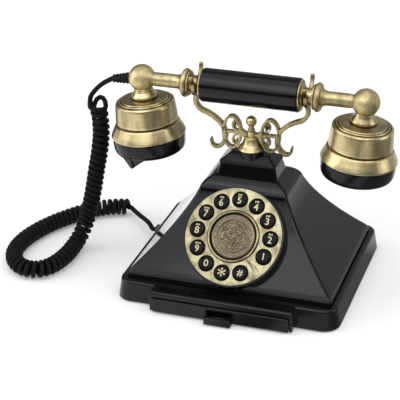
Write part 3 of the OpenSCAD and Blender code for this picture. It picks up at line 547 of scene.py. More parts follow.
def aged_brass_group():
    """Brass turned brown in its hollows as painted shade together with tarnish, brightened on its convex edges as a
    painted highlight together with wear, and with a cloudy, finely brushed surface.
    """
    if "Aged brass" in bpy.data.node_groups:
        return bpy.data.node_groups["Aged brass"]
    group, source, sink = new_group(
        "Aged brass",
        [("Bright", "NodeSocketColor", (0.6, 0.5, 0.3, 1)), ("Brown", "NodeSocketColor", (0.16, 0.1, 0.04, 1)),
         ("Clouds", "NodeSocketFloat", 90.0), ("Depth", "NodeSocketFloat", 1.0), ("Grain", "NodeSocketFloat", 1100.0),
         ("Brush", "NodeSocketVector", (0.05, 0.05, 1.0)), ("Rub and highlight", "NodeSocketFloat", 0.3),
         ("Satin", "NodeSocketFloat", 0.25)],
        [("Color", "NodeSocketColor"), ("Roughness", "NodeSocketFloat"), ("Height", "NodeSocketFloat")])
    nodes, links = group.nodes, group.links
    place = nodes.new("ShaderNodeTexCoord").outputs["Object"]
    upright = vector_node(group, "MULTIPLY", place, (1.0, 1.0, 0.35))
    clouds = noise_node(group, upright, source.outputs["Clouds"], 6, 0.62)
    drawn = vector_node(group, "MULTIPLY", place, source.outputs["Brush"])
    grain = noise_node(group, drawn, source.outputs["Grain"], 4, 0.5)
    attribute = nodes.new("ShaderNodeAttribute")
    attribute.attribute_name = "hollow"
    # Painted shade: the hollower a point, the browner it turns, standing for shade in hollows together with tarnish
    hollow = range_node(group, attribute.outputs["Fac"], 0.508, 0.60, 0.0, 1.0)
    hollow = math_node(group, "MULTIPLY", hollow, source.outputs["Depth"])
    # Painted highlight: convex edges are brightened, for light caught on them together with brass that wears bright
    # there
    edge = math_node(group, "MULTIPLY", range_node(group, attribute.outputs["Fac"], 0.475, 0.36, 0.0, 1.0),
                     math_node(group, "GREATER_THAN", attribute.outputs["Fac"], 0.005))
    rubbed_and_highlit = math_node(group, "ADD", math_node(group, "MULTIPLY", edge, source.outputs["Rub and highlight"]), 1.0)
    stain = range_node(group, clouds, 0.42, 0.66, 0.0, 0.62)
    dark = math_node(group, "MAXIMUM", hollow, stain)
    colour = mix_colour(group, dark, source.outputs["Bright"], source.outputs["Brown"])
    speck = math_node(group, "MULTIPLY", range_node(group, grain, 0.3, 0.7, 0.88, 1.08), rubbed_and_highlit)
    links.new(vector_node(group, "SCALE", colour, speck), sink.inputs["Color"])
    rough = math_node(group, "ADD", range_node(group, grain, 0.3, 0.7, 0.0, 0.05),
                      math_node(group, "MULTIPLY", dark, 0.22))
    rough = math_node(group, "ADD", rough, source.outputs["Satin"])
    links.new(rough, sink.inputs["Roughness"])
    links.new(grain, sink.inputs["Height"])
    return group


def handled_gloss_group():
    """The faint unevenness of a polished surface that is handled: soft smears and a few fine specks."""
    if "Handled gloss" in bpy.data.node_groups:
        return bpy.data.node_groups["Handled gloss"]
    group, source, sink = new_group(
        "Handled gloss",
        [("Shine", "NodeSocketFloat", 0.1), ("Smears", "NodeSocketFloat", 0.05), ("Size", "NodeSocketFloat", 22.0)],
        [("Roughness", "NodeSocketFloat"), ("Height", "NodeSocketFloat"), ("Dust", "NodeSocketFloat")])
    nodes, links = group.nodes, group.links
    place = nodes.new("ShaderNodeTexCoord").outputs["Object"]
    smear = noise_node(group, place, source.outputs["Size"], 3, 0.5)
    soft = range_node(group, smear, 0.35, 0.7, 0.0, 1.0)
    rough = math_node(group, "ADD", source.outputs["Shine"],
                      math_node(group, "MULTIPLY", soft, source.outputs["Smears"]))
    links.new(rough, sink.inputs["Roughness"])
    links.new(smear, sink.inputs["Height"])
    specks = noise_node(group, place, 1500, 2)
    links.new(range_node(group, specks, 0.70, 0.76, 0.0, 1.0), sink.inputs["Dust"])
    return group


# ---------- materials ----------

def start_material(name):
    """A new material's tree and its Principled shader, or None where the material exists."""
    if name in bpy.data.materials:
        return bpy.data.materials[name], None, None
    material = bpy.data.materials.new(name)
    material.use_nodes = True
    tree = material.node_tree
    return material, tree, tree.nodes["Principled BSDF"]


def bump_into(tree, shader, height, distance, strength=1.0):
    bump = tree.nodes.new("ShaderNodeBump")
    bump.inputs["Distance"].default_value = distance * MM
    bump.inputs["Strength"].default_value = strength
    tree.links.new(height, bump.inputs["Height"])
    tree.links.new(bump.outputs["Normal"], shader.inputs["Normal"])


def rgba(colour, gain=1.0):
    return (colour[0] * gain, colour[1] * gain, colour[2] * gain, 1)


def brass_material(name="aged_brass", bright=None, brown=None, clouds=65.0, depth=1.0, brush=(0.05, 0.05, 1.0),
                   rub_and_highlight=0.3, satin=0.25):
    material, tree, shader = start_material(name)
    if tree is None:
        return material
    colours = bpy.context.scene.telephone_colours
    group = tree.nodes.new("ShaderNodeGroup")
    group.node_tree = aged_brass_group()
    for label, value in (("Bright", rgba(bright or colours.brass)), ("Brown", rgba(brown or colours.patina_and_shade)),
                         ("Clouds", clouds), ("Depth", depth), ("Brush", brush), ("Rub and highlight", rub_and_highlight), ("Satin", satin)):
        group.inputs[label].default_value = value
    shader.inputs["Metallic"].default_value = 1.0
    tree.links.new(group.outputs["Color"], shader.inputs["Base Color"])
    tree.links.new(group.outputs["Roughness"], shader.inputs["Roughness"])
    bump_into(tree, shader, group.outputs["Height"], 0.0003, 0.4)
    return material


def gloss_material(name="polished_plastic", shine=0.09, smears=0.05, gain=1.0):
    material, tree, shader = start_material(name)
    if tree is None:
        return material
    colours = bpy.context.scene.telephone_colours
    group = tree.nodes.new("ShaderNodeGroup")
    group.node_tree = handled_gloss_group()
    group.inputs["Shine"].default_value = shine
    group.inputs["Smears"].default_value = smears
    base = mix_colour(tree, group.outputs["Dust"], rgba(colours.plastic, gain), rgba((0.03, 0.03, 0.03)))
    tree.links.new(base, shader.inputs["Base Color"])
    tree.links.new(group.outputs["Roughness"], shader.inputs["Roughness"])
    shader.inputs["IOR"].default_value = 1.5
    shader.inputs["Specular IOR Level"].default_value = 0.265
    shader.inputs["Specular Tint"].default_value = (0.94, 0.95, 1.0, 1)
    bump_into(tree, shader, group.outputs["Height"], 0.03, 0.25)
    return material


def plain_material(name, colour, roughness, metallic=0.0, scale=600.0, bump=0.02, spread=0.2, specular=0.5):
    """A moulded, cast or rolled surface: one colour with fine variation, and a fine bump."""
    material, tree, shader = start_material(name)
    if tree is None:
        return material
    place = tree.nodes.new("ShaderNodeTexCoord").outputs["Object"]
    noise = noise_node(tree, place, scale)
    factor = range_node(tree, noise, 0.3, 0.7, 0.0, 1.0)
    tree.links.new(mix_colour(tree, factor, rgba(colour, 1 - spread), rgba(colour, 1 + spread)),
                   shader.inputs["Base Color"])
    tree.links.new(range_node(tree, noise, 0.3, 0.7, roughness * 0.9, min(1.0, roughness * 1.1)),
                   shader.inputs["Roughness"])
    shader.inputs["Metallic"].default_value = metallic
    shader.inputs["Specular IOR Level"].default_value = specular
    bump_into(tree, shader, noise, bump, 0.6)
    return material


def steel():
    """Plated steel with a fine, uneven sheen."""
    material, tree, shader = start_material("zinc_plated_steel")
    if tree is None:
        return material
    colour, roughness = (0.55, 0.55, 0.56), 0.35
    noise = noise_node(tree, tree.nodes.new("ShaderNodeTexCoord").outputs["Object"], 700)
    tree.links.new(mix_colour(tree, noise, rgba(colour, 0.85), rgba(colour, 1.1)), shader.inputs["Base Color"])
    tree.links.new(range_node(tree, noise, 0.3, 0.7, roughness * 0.85, roughness * 1.15), shader.inputs["Roughness"])
    shader.inputs["Metallic"].default_value = 1.0
    bump_into(tree, shader, noise, 0.01, 0.4)
    return material

def matte_black():
    return plain_material("moulded_black", (0.02, 0.02, 0.021), 0.5)


def patina_and_shade():
    """The dark brown of painted shade in seams and grooves of aged brass, in the colour of tarnish."""
    return plain_material("seam_patina", (0.035, 0.025, 0.012), 0.6, metallic=0.3, scale=900, specular=0.2)


# Near-black for a sheet of painted shade.
def groove_shade_black():
    return plain_material("shaded_black", (0.006, 0.006, 0.006), 0.7, scale=900, specular=0.05)


def rubber(name="black_rubber", colour=(0.008, 0.008, 0.008)):
    return plain_material(name, colour, 0.62, scale=900, bump=0.05, specular=0.22)


# ---------- stage ----------

CAMERA_TARGET = Vector((-43.03, POST_Y, 57.48))
CAMERA_TURN, CAMERA_TILT, CAMERA_ROLL = math.radians(18.98), math.radians(26.68), math.radians(-1.0)
CAMERA_DISTANCE = 1162.0
CAMERA_LENS = 130.5


def camera_frame():
    """Right, up and forward directions of the camera."""
    forward = Vector((-math.sin(CAMERA_TURN) * math.cos(CAMERA_TILT), math.cos(CAMERA_TURN) * math.cos(CAMERA_TILT),
                      -math.sin(CAMERA_TILT)))
    level = Vector((math.cos(CAMERA_TURN), math.sin(CAMERA_TURN), 0))
    above = level.cross(forward)
    right = math.cos(CAMERA_ROLL) * level + math.sin(CAMERA_ROLL) * above
    up = -math.sin(CAMERA_ROLL) * level + math.cos(CAMERA_ROLL) * above
    return right, up, forward


def make_camera():
    right, up, forward = camera_frame()
    spot = CAMERA_TARGET - CAMERA_DISTANCE * forward
    camera = bpy.data.cameras.new("camera")
    camera.lens = CAMERA_LENS
    camera.sensor_width = 36
    camera.clip_start, camera.clip_end = 0.05, 20
    obj = add_object("camera", camera)
    axes = Matrix((right, up, -forward)).transposed().to_4x4()
    obj.matrix_world = Matrix.Translation(spot * MM) @ axes
    bpy.context.scene.camera = obj


def area_lamp(name, spot, target, size, power, size_y=None):
    lamp = bpy.data.lights.new(name, "AREA")
    lamp.energy = power
    lamp.shape = "RECTANGLE"
    lamp.size, lamp.size_y = size, size_y or size
    direction = Vector(target) - Vector(spot)
    add_object(name, lamp).matrix_world = (
        Matrix.Translation(spot) @ direction.to_track_quat("-Z", "Y").to_matrix().to_4x4())

def make_floor():
    bm = bmesh.new()
    bmesh.ops.create_grid(bm, x_segments=1, y_segments=1, size=4000)
    floor = finish_mesh(bm, "floor", keep_normals=True)
    material, tree, shader = start_material("white_table")
    place = tree.nodes.new("ShaderNodeTexCoord").outputs["Object"]
    parts = tree.nodes.new("ShaderNodeSeparateXYZ")
    tree.links.new(vector_node(tree, "NORMALIZE", place), parts.inputs[0])
    # What a polished surface sees of the table: pale on the left, dark in the middle, one paler sector on the right
    across = parts.outputs["X"]
    left = range_node(tree, across, -0.10, 0.16, 1.0, 0.22)
    right = math_node(tree, "MULTIPLY", range_node(tree, across, 0.34, 0.46, 0.0, 0.75),
                      range_node(tree, across, 0.72, 0.86, 1.0, 0.15))
    pale = math_node(tree, "MAXIMUM", left, right)
    shader.inputs["Roughness"].default_value = 0.9
    shader.inputs["Specular IOR Level"].default_value = 0.1
    path = tree.nodes.new("ShaderNodeLightPath")
    glow = tree.nodes.new("ShaderNodeEmission")
    glow.inputs["Color"].default_value = (1, 1, 1, 1)
    gloss = path.outputs["Is Glossy Ray"]
    shade = math_node(tree, "SUBTRACT", 1.0, math_node(tree, "MULTIPLY", gloss, math_node(tree, "SUBTRACT", 1.0, pale)))
    grey = tree.nodes.new("ShaderNodeCombineXYZ")
    for channel in ("X", "Y", "Z"):
        tree.links.new(math_node(tree, "MULTIPLY", shade, 0.8), grey.inputs[channel])
    tree.links.new(grey.outputs["Vector"], shader.inputs["Base Color"])
    mirrored = math_node(tree, "MULTIPLY", math_node(tree, "MULTIPLY", gloss, pale), 0.55)
    # The camera sees the table fade towards white with distance
    faded = range_node(tree, vector_node(tree, "LENGTH", place), 0.20, 1.1, 0.20, 0.85)
    seen = math_node(tree, "ADD", math_node(tree, "MULTIPLY", path.outputs["Is Camera Ray"], faded), mirrored)
    tree.links.new(seen, glow.inputs["Strength"])
    both = tree.nodes.new("ShaderNodeAddShader")
    tree.links.new(shader.outputs[0], both.inputs[0])
    tree.links.new(glow.outputs[0], both.inputs[1])
    tree.links.new(both.outputs[0], tree.nodes["Material Output"].inputs["Surface"])
    floor.data.materials.append(material)


def make_world(ambient):
    world = bpy.data.worlds.new("studio")
    world.use_nodes = True
    tree = world.node_tree
    background = tree.nodes["Background"]
    path = tree.nodes.new("ShaderNodeLightPath")
    place = tree.nodes.new("ShaderNodeTexCoord").outputs["Generated"]
    parts = tree.nodes.new("ShaderNodeSeparateXYZ")
    tree.links.new(place, parts.inputs[0])
    # A glossy ray sees a dim studio: half bright at the back, and one broad soft screen above the front
    behind = range_node(tree, parts.outputs["Y"], -0.4, 0.7, 0.04, 0.55)
    left = range_node(tree, parts.outputs["X"], -0.5, 0.1, 0.12, 1.0)
    high = math_node(tree, "MULTIPLY", range_node(tree, parts.outputs["Z"], 0.22, 0.42, 0.0, 1.0),
                     range_node(tree, parts.outputs["Z"], 0.80, 0.98, 1.0, 0.25))
    front = range_node(tree, parts.outputs["Y"], -0.15, -0.45, 0.15, 1.0)
    side = range_node(tree, parts.outputs["X"], 0.15, 0.6, 1.0, 0.35)
    screen = 2.0
    for share in (high, front, side):
        screen = math_node(tree, "MULTIPLY", screen, share)
    behind = math_node(tree, "MAXIMUM", math_node(tree, "MULTIPLY", behind, left), screen)
    seen = math_node(tree, "MAXIMUM", path.outputs["Is Camera Ray"], path.outputs["Is Transmission Ray"])
    glossy = math_node(tree, "MULTIPLY", path.outputs["Is Glossy Ray"], behind)
    level = math_node(tree, "MAXIMUM", seen, glossy)
    other = math_node(tree, "SUBTRACT", 1.0, math_node(tree, "MAXIMUM", seen, path.outputs["Is Glossy Ray"]))
    level = math_node(tree, "ADD", level, math_node(tree, "MULTIPLY", other, ambient))
    tree.links.new(level, background.inputs["Strength"])
    background.inputs["Color"].default_value = (1, 1, 1, 1)
    bpy.context.scene.world = world


class TELEPHONE_OT_stage(bpy.types.Operator):
    """Adds the camera, the floor, the studio light and the white surroundings"""

    bl_idname = "telephone.stage"
    bl_label = "Stage"

    def execute(self, context):
        light = context.scene.telephone_stage
        context.scene.view_settings.view_transform = "Standard"
        make_camera()
        make_floor()
        make_world(light.ambient)
        area_lamp("overhead", (0.1, -0.25, 1.15), (0, 0, 0.05), 1.5, light.overhead)
        area_lamp("left", (-1.1, -0.35, 0.55), (0, 0, 0.08), 0.8, light.side, 0.9)
        area_lamp("right", (1.15, 0.1, 0.5), (0, 0, 0.08), 0.7, light.side * 0.8, 0.9)
        return {"FINISHED"}


# ---------- cords ----------

LEAD_POINTS = [(-121, 0, 149.9), (-126, -0.1, 145.8), (-129.9, -0.2, 141.6), (-132.8, -0.2, 137.6),
               (-133.9, -0.1, 134.6)]
CURL_POINTS = [
    (-127.5, 0, 131.9), (-126, 0, 118), (-126, 0, 105), (-128, 0, 90), (-131.5, 0, 73), (-135, 0, 55),
    (-138.5, 0, 40), (-143, -1, 24), (-147, -6, 12), (-148.5, -20, 7.5), (-149, -36, 7.5), (-153.5, -53, 7.5),
    (-163, -62, 7.5), (-176, -60.5, 7.5), (-187, -50, 7.5), (-192.5, -35, 7.5), (-192.5, -17, 7.5),
    (-188.5, 0, 7.5), (-182, 16, 7.5), (-174, 30, 7.5), (-164, 44, 7.5), (-152, 55, 7.5), (-141, 61, 7.5),
    (-130, 64, 7.5)]
TAIL_POINTS = [
    (-127.6, 62.4, 7.7), (-124.0, 58.4, 8), (-114.7, 49.6, 8.2), (-105.4, 41.4, 8.5), (-99.8, 34.8, 8.7),
    (-97.0, 30.6, 8.7), (-95.2, JACK_Y, JACK_Z)]
PLUG_END = (-92.5, JACK_Y, JACK_Z)
BOOT_TIP = (-BALL_X - BOOT_LEN * math.cos(math.radians(BOOT_DROP)), 0,
            AXIS_Z - BOOT_LEN * math.sin(math.radians(BOOT_DROP)))

def along(points, distances):
    """The points at given distances along a line, each with its direction."""
    lengths = [0.0]
    for a, b in zip(points, points[1:]):
        lengths.append(lengths[-1] + (b - a).length)
    out = []
    i = 0
    for s in distances:
        s = min(max(s, 0.0), lengths[-1])
        while i < len(lengths) - 2 and lengths[i + 1] < s:
            i += 1
        span = max(lengths[i + 1] - lengths[i], 1e-9)
        out.append(points[i].lerp(points[i + 1], (s - lengths[i]) / span))
    return out, lengths[-1]


def curl_path(turns, per_turn=14):
    """The curly stretch: a helix about the given line, opened out at its top and closer on the table."""
    line = smooth(CURL_POINTS, 24)
    total = along(line, [0])[1]
    hang, loose, tight = 138.0, 5.1, 4.85
    count = int(turns * per_turn)
    # The pitch falls from the hanging stretch to the one that lies on the table, and is widest in the first loops
    distances = [0.0]
    for k in range(count):
        share = min(1.0, max(0.0, (distances[-1] - hang) / 30))
        opened = 1.0 + 0.45 * max(0.0, 1 - k / (1.2 * per_turn))
        distances.append(distances[-1] + (loose + (tight - loose) * share) * opened / per_turn)
    stretch = total / distances[-1]
    centres, _ = along(line, [d * stretch for d in distances])
    normal = Vector((-1, 0, 0))
    path = []
    for k, centre in enumerate(centres):
        ahead, behind = centres[min(k + 1, count)], centres[max(k - 1, 0)]
        tangent = (ahead - behind).normalized()
        normal = (normal - normal.dot(tangent) * tangent).normalized()
        side = tangent.cross(normal)
        # The cord comes down into the first loop before it starts to turn
        turned = k / per_turn
        turned = turned ** 2 if turned < 0.5 else turned - 0.25
        a = 2 * math.pi * turned
        wide = 1 + 0.34 * max(0.0, 1 - k / (1.5 * per_turn))
        # The last half turn closes in on the line, where the plain end begins
        r = (CURL_R - CORD_R) * wide * min(1.0, (count - k) / (0.5 * per_turn))
        raised = (9.0 if turned < 1 else 1.5 if turned < 2 else 0.0) * max(0.0, -math.sin(a))
        path.append(centre + r * (math.cos(a) * normal - math.sin(a) * side) - raised * tangent)
    return path


def cord_material():
    material, tree, shader = start_material("cord_jacket")
    if tree is None:
        return material
    colours = bpy.context.scene.telephone_colours
    place = tree.nodes.new("ShaderNodeTexCoord").outputs["Object"]
    noise = noise_node(tree, place, 1100, 3)
    base = mix_colour(tree, noise, rgba(colours.cord, 0.7), rgba(colours.cord, 1.4))
    tree.links.new(base, shader.inputs["Base Color"])
    tree.links.new(range_node(tree, noise, 0.3, 0.7, 0.6, 0.75), shader.inputs["Roughness"])
    shader.inputs["Specular IOR Level"].default_value = 0.14
    bump_into(tree, shader, noise, 0.03, 0.5)
    return material


class TELEPHONE_OT_cords(bpy.types.Operator):
    """Adds the curly handset cord and its plain end at the socket"""

    bl_idname = "telephone.cords"
    bl_label = "Cords"

    def execute(self, context):
        shift = Vector((0, POST_Y, 0))
        lead = smooth([BOOT_TIP] + LEAD_POINTS, 8)
        curl = curl_path(context.scene.telephone_sizes.curl_turns)
        upper = [p + shift for p in lead + curl[2:]]
        lower = [p + shift for p in smooth([tuple(curl[-1])] + TAIL_POINTS + [PLUG_END], 8)]
        for name, path, node_names, bodies, far in (
                ("handset_cord", upper, ("cord_lead", "cord_curl"), ("handset", "cradle"), "object"),
                ("socket_cord", lower, ("cord_tail",), ("cradle", "base"), "plug")):
            cord = tube(name, path, CORD_R, 10)
            cord.data.materials.append(cord_material())
            if far == "object":
                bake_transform(cord)
            else:
                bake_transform(cord)
            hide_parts(*node_names)
        return {"FINISHED"}


# ---------- base ----------

class TELEPHONE_OT_housing(bpy.types.Operator):
    """Adds the flared housing with its neck and the round boss of the dial"""

    bl_idname = "telephone.housing"
    bl_label = "Housing"

    def execute(self, context):
        ridge = context.scene.telephone_sizes.ridge / MM
        rim = TRAY_H + 2.8

        def at(share, z, inset=0.0, r=ridge):
            return rounded_ring(NECK_W / 2 + (FOOT_W - NECK_W) / 2 * share - inset,
                                NECK_D / 2 + (FOOT_D - NECK_D) / 2 * share - inset, r, z, 8)

        flare = [(1, rim + 0.4), (0.404, NECK_Z - 36.2), (0.2, NECK_Z - 11)]
        shoulder = [(0.2, NECK_Z - 11), (0.17, NECK_Z - 4), (0, NECK_Z)]
        # The plinth and the round step over it: height above the tray, and inset
        plinth = [(-0.6, 1.2), (1.0, 1.2), (1.2, 0.9), (1.3, 0.45), (1.6, 0.1), (2.0, 0), (2.4, 0), (2.75, 0.12),
                  (3.0, 0.45), (3.1, 0.8)]
        rings = [at(1, TRAY_H + z, inset) for z, inset in plinth]
        for line, steps in ((flare, 32), (shoulder, 12)):
            rings += [at(*bezier(line, k / steps)) for k in range(1, steps + 1)]
        w, d = NECK_TOP_W / 2, NECK_TOP_D / 2
        for k in range(1, 5):
            t = k / 4
            rings.append(rounded_ring(NECK_W / 2 + (w - NECK_W / 2) * t, NECK_D / 2 + (d - NECK_D / 2) * t, ridge,
                                      NECK_Z + (NECK_TOP - 2.2 - NECK_Z) * t, 8))
        for grow, z in ((0.1, 2.1), (0.42, 1.95), (0.5, 1.7), (0.5, 1.35), (0.4, 1.15), (0.12, 1.05), (0.12, 0.9),
                        (0.4, 0.8), (0.5, 0.6), (0.5, 0.2), (0.4, 0.05), (0.2, 0.0), (-2, 0.0), (-6, 0.0)):
            rings.append(rounded_ring(w + grow, d + grow, ridge if grow > -1 else 1, NECK_TOP - z, 8))
        shell = loft("housing_shell", rings, POST, sharp=30, cap=False)
        wall = shell.modifiers.new("wall", "SOLIDIFY")
        wall.thickness = 1.6 * MM
        wall.offset = -1
        bake(shell)
        outer, inner = DIAL_R + 1.2, DIAL_R - 1.8
        boss = lathe("boss", softened(ring_section(inner, outer, -12.6, -1.62), 0.5, True, 4), DIAL, 128, closed=True)
        floor_cut = block("floor_cut", (-90, -150, -60), (90, 100, TRAY_H + 1.2), POST)
        boolean(boss, floor_cut, "DIFFERENCE")
        pocket = lathe("pocket", [(0, -12.5), (inner + 0.6, -12.5), (inner + 0.6, 6), (0, 6)], DIAL, 128)
        boolean(shell, pocket, "DIFFERENCE")
        shell.data.shade_smooth()
        shell.data.set_sharp_from_angle(angle=math.radians(30))
        even_normals(shell)
        piece = join("housing_body", [shell, boss])
        dress(piece, gloss_material(), "base", ("housing",))
        cap = self.neck_cap()
        dress(cap, gloss_material(), "base", ("neck_cap",))
        return {"FINISHED"}

    def neck_cap(self):
        w, d = NECK_TOP_W / 2, NECK_TOP_D / 2
        rings = [rounded_ring(w - 0.2, d - 0.2, 2, NECK_TOP + 0.02, 8), rounded_ring(w, d, 2, NECK_TOP + 0.25, 8)]
        for k in range(1, 9):
            t = k / 8
            rings.append(rounded_ring(w + (16.5 - w) * t, d + (6 - d) * t, 2 - 0.8 * t,
                                      NECK_TOP + 0.25 + (4.45 - 0.3) * t, 8))
        rings.append(rounded_ring(16.1, 5.6, 1, CAP_TOP - 0.08, 8))
        rings.append(rounded_ring(15.5, 5.0, 0.8, CAP_TOP, 8))
        roof = even_normals(loft("roof", rings, POST, sharp=40))
        seat = [(0, NECK_TOP + 1), (9.8, NECK_TOP + 1), (9.8, SEAT_TOP), (0, SEAT_TOP)]
        return join("cap_and_seat", [roof, lathe("seat", softened(seat, 0.3), POST, 64)])


def tray_ring(z, inset, draft):
    """The tray's outline with the drawer's frame standing out of its front."""
    half_w, half_d = TRAY_W / 2 + draft - inset, TRAY_D / 2 + draft - inset
    r = max(1.0, TRAY_CORNER + draft - inset)
    frame_x, frame_y = FRAME_W / 2 - inset, TRAY_D / 2 + FRAME_REACH - inset
    points = rounded_ring(half_w, half_d, r, z, 10)
    front = 22 + 11
    out = points[:front]
    for x, y in ((-frame_x, -half_d), (-frame_x, -frame_y), (frame_x, -frame_y), (frame_x, -half_d)):
        if abs(y) > half_d:
            turn = 1 if x > 0 else -1
            corner = [(x, y + 0.6), (x - turn * 0.18, y + 0.18), (x - turn * 0.6, y)]
            out.extend((a, b, z) for a, b in (corner if turn < 0 else reversed(corner)))
        else:
            out.append((x, y, z))
    return out + points[front:]


class TELEPHONE_OT_tray(bpy.types.Operator):
    """Adds the tray under the housing, with the frame of the drawer"""

    bl_idname = "telephone.tray"
    bl_label = "Tray"

    def execute(self, context):
        shoulder_z = 15.4
        profile = [(FOOT_Z, 0.4), (FOOT_Z + 0.1, 0.12), (FOOT_Z + 0.4, 0), (5, 0), (10, 0), (14.4, 0), (shoulder_z, 0),
                   (15.9, 0.12), (16.4, 0.4), (16.8, 0.78), (17.15, 1.3), (17.35, 1.9), (TRAY_H, 2.5), (TRAY_H, 4)]
        rings = [tray_ring(z, inset, TRAY_DRAFT * (shoulder_z - min(z, shoulder_z)) / (shoulder_z - FOOT_Z))
                 for z, inset in profile]
        tray = loft("tray_shell", rings, POST, sharp=45)
        inner = [rounded_ring(TRAY_W / 2 + TRAY_DRAFT - WALL, TRAY_D / 2 + TRAY_DRAFT - WALL, 10, FOOT_Z - 1, 6),
                 rounded_ring(TRAY_W / 2 - WALL, TRAY_D / 2 - WALL, 8, TRAY_H - WALL, 6)]
        cuts = [loft("hollow", inner, POST),
                block("deck_opening", (-FOOT_W / 2 + 6, -FOOT_D / 2 + 6, 10), (FOOT_W / 2 - 6, FOOT_D / 2 - 6, 25),
                      POST),
                block("window", (-PANEL_W / 2 - 0.4, -110, -5), (PANEL_W / 2 + 0.4, -60, PANEL_Z + PANEL_H + 0.3),
                      POST)]
        for spot, size in (((-TRAY_W / 2, JACK_Y, JACK_Z), (9, 5.4, 4.9)),
                           ((LINE_X, TRAY_D / 2, JACK_Z), (5.4, 9, 4.9))):
            cuts.append(block("socket_window", Vector(spot) - Vector(size), Vector(spot) + Vector(size), POST))
        for cut in cuts:
            boolean(tray, cut, "DIFFERENCE")
        bevel(tray, 0.7, 3, 40)
        dress(tray, gloss_material(), "base", ("tray",))
        return {"FINISHED"}


class TELEPHONE_OT_drawer(bpy.types.Operator):
    """Adds the drawer, its front panel and its pull"""

    bl_idname = "telephone.drawer"
    bl_label = "Drawer"

    def execute(self, context):
        front = -PANEL_Y
        panel = block("panel", (-PANEL_W / 2, front, PANEL_Z), (PANEL_W / 2, front + PANEL_T, PANEL_Z + PANEL_H), POST)
        slot = block("finger_slot", (-PULL_W / 2 + 0.8, front - 1, PANEL_Z + PULL_FLOOR),
                     (PULL_W / 2 - 0.8, front + 1.8, PANEL_Z + PANEL_H - 2.6), POST)
        boolean(panel, slot, "DIFFERENCE")
        bevel(panel, 0.9, 3, 35)
        back = front + PANEL_T
        box = block("box", (-PANEL_W / 2 + 0.5, back - 0.01, 2.9), (PANEL_W / 2 - 0.5, back + DRAWER_LEN, 12.4), POST)
        hollow = block("hollow", (-PANEL_W / 2 + 2.1, back + 0.2, 4.5),
                       (PANEL_W / 2 - 2.1, back + DRAWER_LEN - 1.6, 30), POST)
        boolean(box, hollow, "DIFFERENCE")
        bevel(box, 0.3, 2, 35)
        gloss = gloss_material("drawer_gloss", 0.16, 0.06, 1.3)
        dress(panel, gloss, "drawer_body", ("drawer",))
        dress(box, matte_black(), "drawer_body", ("drawer",))
        deep = PULL_REACH - 1.2
        half = PULL_W / 2 - 1.4
        r = (half * half + deep * deep) / (2 * deep)
        pull = block("pull", (-PULL_W / 2, front - PULL_REACH, PANEL_Z), (PULL_W / 2, front - 0.02, PANEL_Z + PULL_H),
                     POST)
        scoop = lathe("scoop", [(0, 0), (r, 0), (r, 20), (0, 20)],
                      POST @ Matrix.Translation((0, front + r - deep, PANEL_Z + PULL_FLOOR)), 128)
        boolean(pull, scoop, "DIFFERENCE")
        bevel(pull, 0.7, 3, 35)
        lip_r = r + 0.45
        turn = math.asin((half - 0.4) / lip_r)
        arc = [POST @ Vector((lip_r * math.sin(turn * k / 10), front + r - deep - lip_r * math.cos(turn * k / 10),
                              PANEL_Z + PULL_H - 0.5)) for k in range(-10, 11)]
        lip = tube("lip", arc, 0.48, 8, (0, 0, 1))
        pull = join("pull_and_lip", [pull, lip])
        dress(pull, gloss, "drawer_body", ("drawer_pull",))
        return {"FINISHED"}


# ---------- dial ----------

# Each key's node, its mark, and how many short bars stand over the mark
KEYS = [("key_5", "5", 3), ("key_6", "6", 3), ("key_7", "7", 4), ("key_8", "8", 3), ("key_9", "9", 4),
        ("key_0", "0", 0), ("key_star", "*", 0), ("key_hash", "#", 0), ("key_1", "1", 0), ("key_2", "2", 3),
        ("key_3", "3", 3), ("key_4", "4", 3)]

def key_centre(i):
    """A key's place in the ring: eight run to the left from the top, and the last four to the right."""
    angle = math.radians(90 + i * KEY_STEP if i < 8 else 90 - (len(KEYS) - i) * KEY_STEP)
    return Vector((KEY_CIRCLE * math.cos(angle), KEY_CIRCLE * math.sin(angle), 0))


def circle(radius, centre=(0, 0), steps=64):
    return [(centre[0] + radius * math.cos(a), centre[1] + radius * math.sin(a)) for a in turns(steps)]

def text_mesh(name, words, height, place, bold):
    """Raised characters as a plain mesh, centred on the frame's origin."""
    capital, depth = 0.73, 0.8      # a digit's height in the font's own size, and how thick it is
    curve = bpy.data.curves.new(name, "FONT")
    curve.body = words
    curve.size = height * MM / capital
    curve.align_x, curve.align_y = "CENTER", "CENTER"
    curve.extrude = depth * MM / 2
    curve.offset = bold * MM
    curve.resolution_u = 3
    return from_curve(name, curve, place, 0.0005, 20)

def medallion_height(x, y):
    """Relief of the medallion: a ticked band between two fine rings around a small plant with scrolls."""
    r, a = math.hypot(x, y), math.atan2(y, x)

    def line(distance, width):
        return max(0.0, 1 - abs(distance) / width)

    rings = line(r - 15.9, 0.35) + line(r - 12.9, 0.35) + 0.5 * line(r - 10.9, 0.3)
    if abs(math.sin(a)) > 0.2:
        ticks = 0.8 * max(0.0, math.sin(42 * a)) * line(r - 14.4, 1.0)
    else:
        # A dot breaks the ticks on either side
        ticks = line(math.hypot(r - 14.4, 4 * (a if abs(a) < 1.6 else math.pi - abs(a))), 0.7)
    flower = line(r - 7.3 - 1.8 * math.cos(4 * a), 0.55) + line(r - 4.4 + 1.2 * math.cos(4 * a), 0.5) + line(r, 1.5)
    flower += line(r - 8.6 + 1.1 * math.cos(8 * a), 0.4) + line(r - 2.3, 0.4)
    corner = (a + math.pi / 4) % (math.pi / 2) - math.pi / 4
    dots = line(math.hypot(r - 10.6, 10.6 * (abs(corner) - math.pi / 4)), 0.9)
    ground = 0.25 * math.sin(4.2 * x) * math.sin(4.2 * y) if r < 12.4 else 0.0
    return min(1.2, 0.9 * rings + ticks + 0.15 + ground + 0.9 * min(1.0, flower + dots))


def key_material():
    return plain_material("key_finish", tuple(bpy.context.scene.telephone_colours.key), 0.14, scale=700, bump=0.01,
                          specular=0.08)


